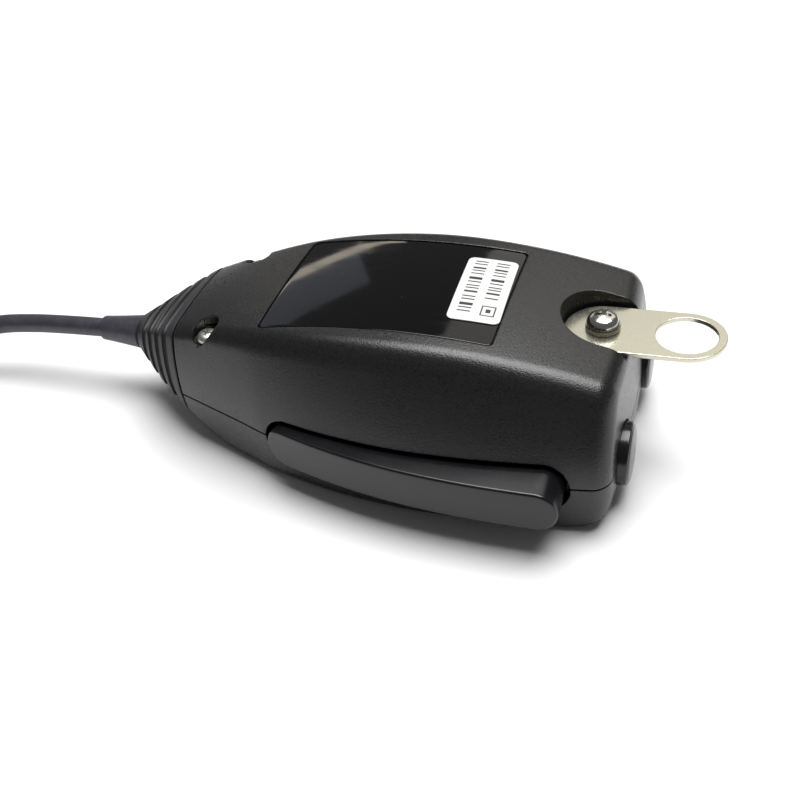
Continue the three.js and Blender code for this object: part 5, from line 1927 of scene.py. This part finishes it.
@dataclass
class CurlyCord:
    """The free cord: a plain lead, a curly part folded once beside the microphone, and a plain tail."""

    radius: float = 2.4
    exit: Point3 = (-92.9, 0.0, 15.5)
    coil_x: float = -164.0
    coil_y: float = -20.0
    coil_z: float = 7.05
    leg: float = 85.5
    turn: float = 22.0
    winding: float = 4.6
    pitch: float = 4.97
    bend_pitch: float = 6.15
    per_turn: int = 24
    blend: float = 6.0
    lead: tuple[Point3, ...] = (
        (-93.2, 0, 15.5), (-104, 0, 15.1), (-114, 0, 14.4), (-124, -0.8, 13.4), (-134, -4, 11.8),
        (-144, -10, 9.6), (-152, -16.4, 8), (-158, -19.5, 7.2), (-161, -20, 7.05), (-163.7, -20, 7.05))
    tail: tuple[Point3, ...] = (
        (-163.7, 24, 7.05), (-161, 24, 7), (-156, 23.4, 5.6), (-150.4, 20.8, 3.6), (-145.8, 15.4, 2.7),
        (-145.6, 8.8, 3), (-149.6, 3.8, 5), (-155, 2.1, 7.6), (-161, 2, 9.2), (-163.7, 2, 9.25))

    @staticmethod
    def fair_line(points: Sequence[Point3], step: float = 1.2) -> list[Vector]:
        """Points close together on a smooth line through a few.

        Args:
            points: The few points.
            step: How far apart the many are.

        Returns:
            The many points.
        """
        ends = [Vector(p) for p in points]
        ends = [2 * ends[0] - ends[1], *ends, 2 * ends[-1] - ends[-2]]
        made = []
        for a, b, c, d in zip(ends, ends[1:], ends[2:], ends[3:]):
            count = max(2, round((c - b).length / step))
            for k in range(count):
                t = k / count
                made.append(0.5 * (2 * b + (c - a) * t + (2 * a - 5 * b + 4 * c - d) * t**2
                                   + (3 * b - 3 * c + d - a) * t**3))
        return made + [ends[-2]]

    def middle_at(self, along: float) -> tuple[Vector, Vector]:
        """The curly part's middle line and its direction.

        Args:
            along: The distance along it.

        Returns:
            The place and the direction.
        """
        far = self.coil_x - self.leg
        bend = math.pi * self.turn
        if along < self.leg:
            return Vector((self.coil_x - along, self.coil_y, self.coil_z)), Vector((-1, 0, 0))
        if along < self.leg + bend:
            angle = (along - self.leg) / self.turn
            place = Vector((far - self.turn * math.sin(angle),
                            self.coil_y + self.turn * (1 - math.cos(angle)), self.coil_z))
            return place, Vector((-math.cos(angle), math.sin(angle), 0))
        rest = along - self.leg - bend
        return Vector((far + rest, self.coil_y + 2 * self.turn, self.coil_z)), Vector((1, 0, 0))

    def curl(self) -> list[Vector]:
        """The points of the curly part, wound round its middle line.

        Returns:
            The points, which start and end on the middle line.
        """
        bend = math.pi * self.turn
        total = 2 * self.leg + bend
        points = []
        along, angle = 0.0, 0.0
        while along < total:
            centre, way = self.middle_at(along)
            ends = min(1.0, along / self.blend, (total - along) / self.blend)
            reach = self.winding * ends * ends * (3 - 2 * ends)
            across = way.cross(Vector((0, 0, 1)))
            points.append(centre + across * (reach * math.cos(angle))
                          + Vector((0, 0, 1)) * (reach * math.sin(angle)))
            in_bend = min(along - self.leg + 6, self.leg + bend + 6 - along) / 6
            share = min(1.0, max(0.0, in_bend))
            along += (self.pitch + (self.bend_pitch - self.pitch) * share) / self.per_turn
            angle += math.tau / self.per_turn
        return points

    def build(self, plug: Sequence[Piece]) -> list[Piece]:
        """Args:
            plug: The plug's pieces; not used.

        Returns:
            The piece.
        """
        path = self.fair_line(self.lead) + self.curl()[1:] + self.fair_line(self.tail)
        path = [p for p, q in zip(path, path[1:]) if (p - q).length > 0.05] + [path[-1]]
        length = sum((b - a).length for a, b in zip(path, path[1:]))
        bpy.ops.object.select_all(action="DESELECT")
        bpy.ops.curve.primitive_nurbs_path_add()
        made = bpy.context.object
        made.name = "cord"
        line = made.data
        line.splines.clear()
        spline = line.splines.new("POLY")
        spline.points.add(len(path) - 1)
        for point, place in zip(spline.points, path):
            point.co = (*(place * MM), 1.0)
        line.dimensions = "3D"
        line.twist_mode = "MINIMUM"
        line.bevel_depth = self.radius * MM
        line.bevel_resolution = 3
        line.use_fill_caps = True
        spline.use_smooth = True
        settle(made, "housing", Slot.JACKET, "cord_lead", "cord_coil", "cord_tail")
        log.info("cord: %.0f mm long", length)
        return [made]


@dataclass
class Plug:
    """The round eight-pole plug: ribbed strain relief, metal shell, knurled ring and insert with sockets."""

    radius: float = 8.0
    ring_bore: float = 7.6
    ring_radius: float = 9.2
    insert_radius: float = 6.9
    knurls: int = 60
    knurl_depth: float = 0.22
    relief_rings: int = 6
    groove: Point2 = (0.7, 6.0)
    poles: int = 7
    pole_circle: float = 4.3
    pole_radius: float = 0.62
    axis_y: float = 2.0
    axis_z: float = 9.25

    def ends(self, node: str) -> tuple[float, float]:
        """The nearest and farthest x of a node, in millimetres."""
        low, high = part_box(node)
        return high.x / MM, low.x / MM

    def turned(self, name: str, profile: Sequence[Point2], steps: int = 96) -> Piece:
        """A body of revolution on the plug's line, whose points count x outwards from the cord."""
        return Bench.spun(name, [(-x, r) for x, r in profile], (0, self.axis_y, self.axis_z), Axis.X, steps)

    def boot(self) -> Piece:
        """Builds the strain relief, with rings moulded in its taper."""
        near, far = self.ends("plug_boot")
        length = near - far
        profile = [(-near, 0), (-near, 3.2), (-near + 0.2, 3.4)]
        for k in range(self.relief_rings):
            for at, out in ((0.1, 0.0), (0.3, -0.5), (0.55, -0.5), (0.75, 0.0)):
                share = (k + at) / (self.relief_rings + 1.6) + 0.05
                profile.append((-near + length * share, 3.4 + 2.8 * share + out))
        profile += [(-far - 0.3, 6.2), (-far, 5.9), (-far, 0)]
        return Bench.smooth(self.turned("plug_relief", profile), 40)

    def shell(self) -> Piece:
        """Builds the metal shell."""
        near, far = self.ends("plug_shell")
        lap = self.ends("plug_ring")[0] + 0.3
        rim, groove, bore = self.radius, self.radius - 0.35, self.insert_radius
        profile = [(-near, 0), (-near, 6.0), (-near + 0.2, 6.2), (-near + 1.5, rim - 0.2), (-near + 1.8, rim),
                   (-near + 6, rim), (-near + 6.2, groove), (-near + 6.9, groove), (-near + 7.1, rim),
                   (-lap - 0.2, rim), (-lap, rim - 0.2), (-lap, bore), (-far, bore), (-far, 0)]
        return Bench.smooth(self.turned("plug_body", profile), 30)

    def ring(self) -> Piece:
        """Builds the coupling ring, with straight knurls round its grip."""
        near, far = self.ends("plug_ring")
        bore, rim = self.ring_bore, self.ring_radius
        grip = rim - self.knurl_depth - 0.03
        profile = [(-near, bore), (-near, rim - 0.5), (-near + 0.5, rim), (-near + 1.2, rim),
                   (-near + 1.4, grip), (-far - 2.6, grip), (-far - 2.4, rim), (-far - 1, rim),
                   (-far, rim - 0.8), (-far, bore)]
        made = self.turned("coupling_ring", profile, 4 * self.knurls)
        for vertex in made.data.vertices:
            along = -vertex.co.x / MM
            y, z = vertex.co.y / MM - self.axis_y, vertex.co.z / MM - self.axis_z
            reach = math.hypot(y, z)
            if -near + 1.3 < along < -far - 2.5 and reach > rim - 0.3:
                angle = math.atan2(z, y)
                out = 1 + self.knurl_depth * max(0.0, math.cos(angle * self.knurls)) / reach
                vertex.co.y = (self.axis_y + y * out) * MM
                vertex.co.z = (self.axis_z + z * out) * MM
        return Bench.smooth(made, 25)

    def insert(self) -> Piece:
        """Builds the insulating insert, with its contact holes and a key groove."""
        near, far = self.ends("plug_insert")
        rim = self.insert_radius
        profile = [(-near, 0), (-near, rim), (-far - 0.2, rim), (-far, rim - 0.2), (-far, 0)]
        made = self.turned("plug_face", profile)
        for k in range(self.poles + 1):
            angle = math.tau * k / self.poles
            reach = self.pole_circle if k < self.poles else 0.0
            at = (far - 1, self.axis_y + reach * math.cos(angle), self.axis_z + reach * math.sin(angle))
            Bench.change(made, Cut.TAKE, Bench.rod("pole", at, 2.4, self.pole_radius, Axis.X, 20))
        half, low = self.groove
        groove = Bench.block("groove", (far - 1, self.axis_y - half, self.axis_z + low),
                             (near + 1, self.axis_y + half, self.axis_z + low + 3))
        return Bench.smooth(Bench.change(made, Cut.TAKE, groove), 30)

    def build(self) -> list[Piece]:
        """Builds and settles the plug's pieces.

        Returns:
            The pieces.
        """
        made = {"plug_boot": (self.boot(), Slot.BOOT), "plug_shell": (self.shell(), Slot.NICKEL),
                "plug_ring": (self.ring(), Slot.NICKEL), "plug_insert": (self.insert(), Slot.COMPONENT)}
        for node, (piece, slot) in made.items():
            settle(piece, "housing", slot, node)
        return [piece for piece, _ in made.values()]


# -------- what stays inside


@dataclass
class Internals:
    """The pieces inside the case, which keep their own shapes and get their finishes."""

    finishes: dict[str, Slot] = field(default_factory=lambda: {
        "key_mat": Slot.KEY, "main_board": Slot.BOARD, "board_connector": Slot.COMPONENT,
        "tone_chip": Slot.COMPONENT, "wire_bundle": Slot.JACKET, "sound_cloth": Slot.CLOTH,
        "mic_gasket": Slot.BOOT, "mic_capsule": Slot.METAL, "ptt_pin": Slot.METAL, "ptt_spring": Slot.METAL,
        "ptt_switch": Slot.COMPONENT, "cable_core": Slot.JACKET, "cable_clamp": Slot.METAL,
        "up_switch": Slot.COMPONENT, "down_switch": Slot.COMPONENT})

    def build(self) -> list[Piece]:
        """Dresses the pieces.

        Returns:
            The pieces.
        """
        pieces = []
        for node, slot in self.finishes.items():
            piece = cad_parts[node]
            PALETTE.dress(piece, slot)
            pieces.append(piece)
        return pieces


# -------- studio


@dataclass
class Lamp:
    """A soft square lamp that looks at a point."""

    name: str
    place: Point3
    target: Point3
    size: tuple[float, float]
    power: float
    colour: Colour = (1.0, 1.0, 1.0)

    def build(self) -> Piece:
        """Adds the lamp.

        Returns:
            The lamp's object.
        """
        light = bpy.data.lights.new(self.name, "AREA")
        light.shape = "RECTANGLE"
        light.size, light.size_y = self.size
        light.energy = self.power
        light.color = self.colour
        lamp = bpy.data.objects.new(self.name, light)
        bpy.context.scene.collection.objects.link(lamp)
        lamp.location = self.place
        lamp.rotation_euler = (Vector(self.target) - Vector(self.place)).to_track_quat("-Z", "Y").to_euler()
        return lamp


@dataclass
class Studio:
    """A pale floor, soft light and the camera."""

    eye: Point3 = (54.31, -178.74, 156.39)
    right: Point3 = (0.95292, 0.28906, -0.09156)
    up: Point3 = (-0.10980, 0.61045, 0.78441)
    back: Point3 = (0.28263, -0.73743, 0.61345)
    lens: float = 47.55
    sensor: float = 36.0
    shift: Point2 = (-0.0170, -0.0157)
    floor_size: float = 6.0
    sky: Colour = (1.0, 0.99, 1.0)
    sky_strength: float = 0.115
    lamps: tuple[Lamp, ...] = (
        Lamp("overhead", (0.08, 0.26, 1.15), (-0.02, 0.03, 0.0), (0.95, 0.8), 21.0),
        Lamp("doorway", (0.2, 1.0, 0.78), (0.02, 0, 0.03), (0.85, 0.75), 1.6, (1.0, 0.97, 0.90)),
        Lamp("shelves", (-0.78, 0.95, 0.62), (-0.02, 0, 0.03), (0.5, 0.22), 0.12, (0.80, 0.88, 1.0)),
        Lamp("strip", (-0.62, 0.95, 0.44), (-0.02, 0, 0.03), (0.45, 0.05), 0.16, (1.0, 0.90, 0.74)),
    )

    def camera(self) -> Piece:
        """Adds the camera.

        Returns:
            The camera's object.
        """
        data = bpy.data.cameras.new("camera")
        data.sensor_width = self.sensor
        data.lens = self.lens
        data.shift_x, data.shift_y = self.shift
        data.clip_start = 0.01
        data.clip_end = 50.0
        made = bpy.data.objects.new("camera", data)
        bpy.context.scene.collection.objects.link(made)
        bpy.context.scene.view_settings.view_transform = "Standard"
        columns = Matrix((self.right, self.up, self.back)).transposed().to_4x4()
        made.matrix_world = Matrix.Translation(MM * Vector(self.eye)) @ columns
        bpy.context.scene.camera = made
        return made

    def floor(self) -> Piece:
        """Adds the floor.

        Returns:
            The floor.
        """
        made = Bench.primitive(bpy.ops.mesh.primitive_plane_add, "floor", size=self.floor_size)
        made.data.materials.append(PALETTE.get(Backdrop("backdrop")))
        return made

    def light(self) -> None:
        """Adds the lamps and the sky."""
        for lamp in self.lamps:
            lamp.build()
        world = bpy.data.worlds.new("sky")
        bpy.context.scene.world = world
        world.use_nodes = True
        sky = world.node_tree.nodes["Background"]
        sky.inputs["Color"].default_value = (*self.sky, 1.0)
        sky.inputs["Strength"].default_value = self.sky_strength


def main() -> None:
    """Builds the microphone and its studio, in order, and reports each piece."""
    logging.basicConfig(level=logging.INFO, format="%(message)s")
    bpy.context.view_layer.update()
    studio = Studio()
    studio.camera()
    plug = Plug().build()
    cord = CurlyCord().build(plug)
    form = CaseForm()
    cutouts = Cutouts(form)
    groups = {
        "cord": cord,
        "plug": plug,
        "rear": RearCover(form, cutouts).build(),
        "front": FrontCover(form, cutouts).build(),
        "hanger": Hanger(form, cutouts).build(),
        "fasteners": Fasteners().build(),
        "talk": TalkBar(form, cutouts).build(),
        "buttons": [EndButton(form, cutouts).build("up", -1, True),
                    EndButton(form, cutouts).build("down", 1, False)],
        "keypad": Keypad().build(),
        "entry": CableEntry(form, cutouts).build(),
        "inside": Internals().build(),
    }
    for group, pieces in groups.items():
        for piece in pieces:
            faces = len(piece.data.polygons) if piece.type == "MESH" else 0
            log.info("%s: %s, %d faces", group, piece.name, faces)
    studio.floor()
    studio.light()


if __name__ == "__main__":
    main()
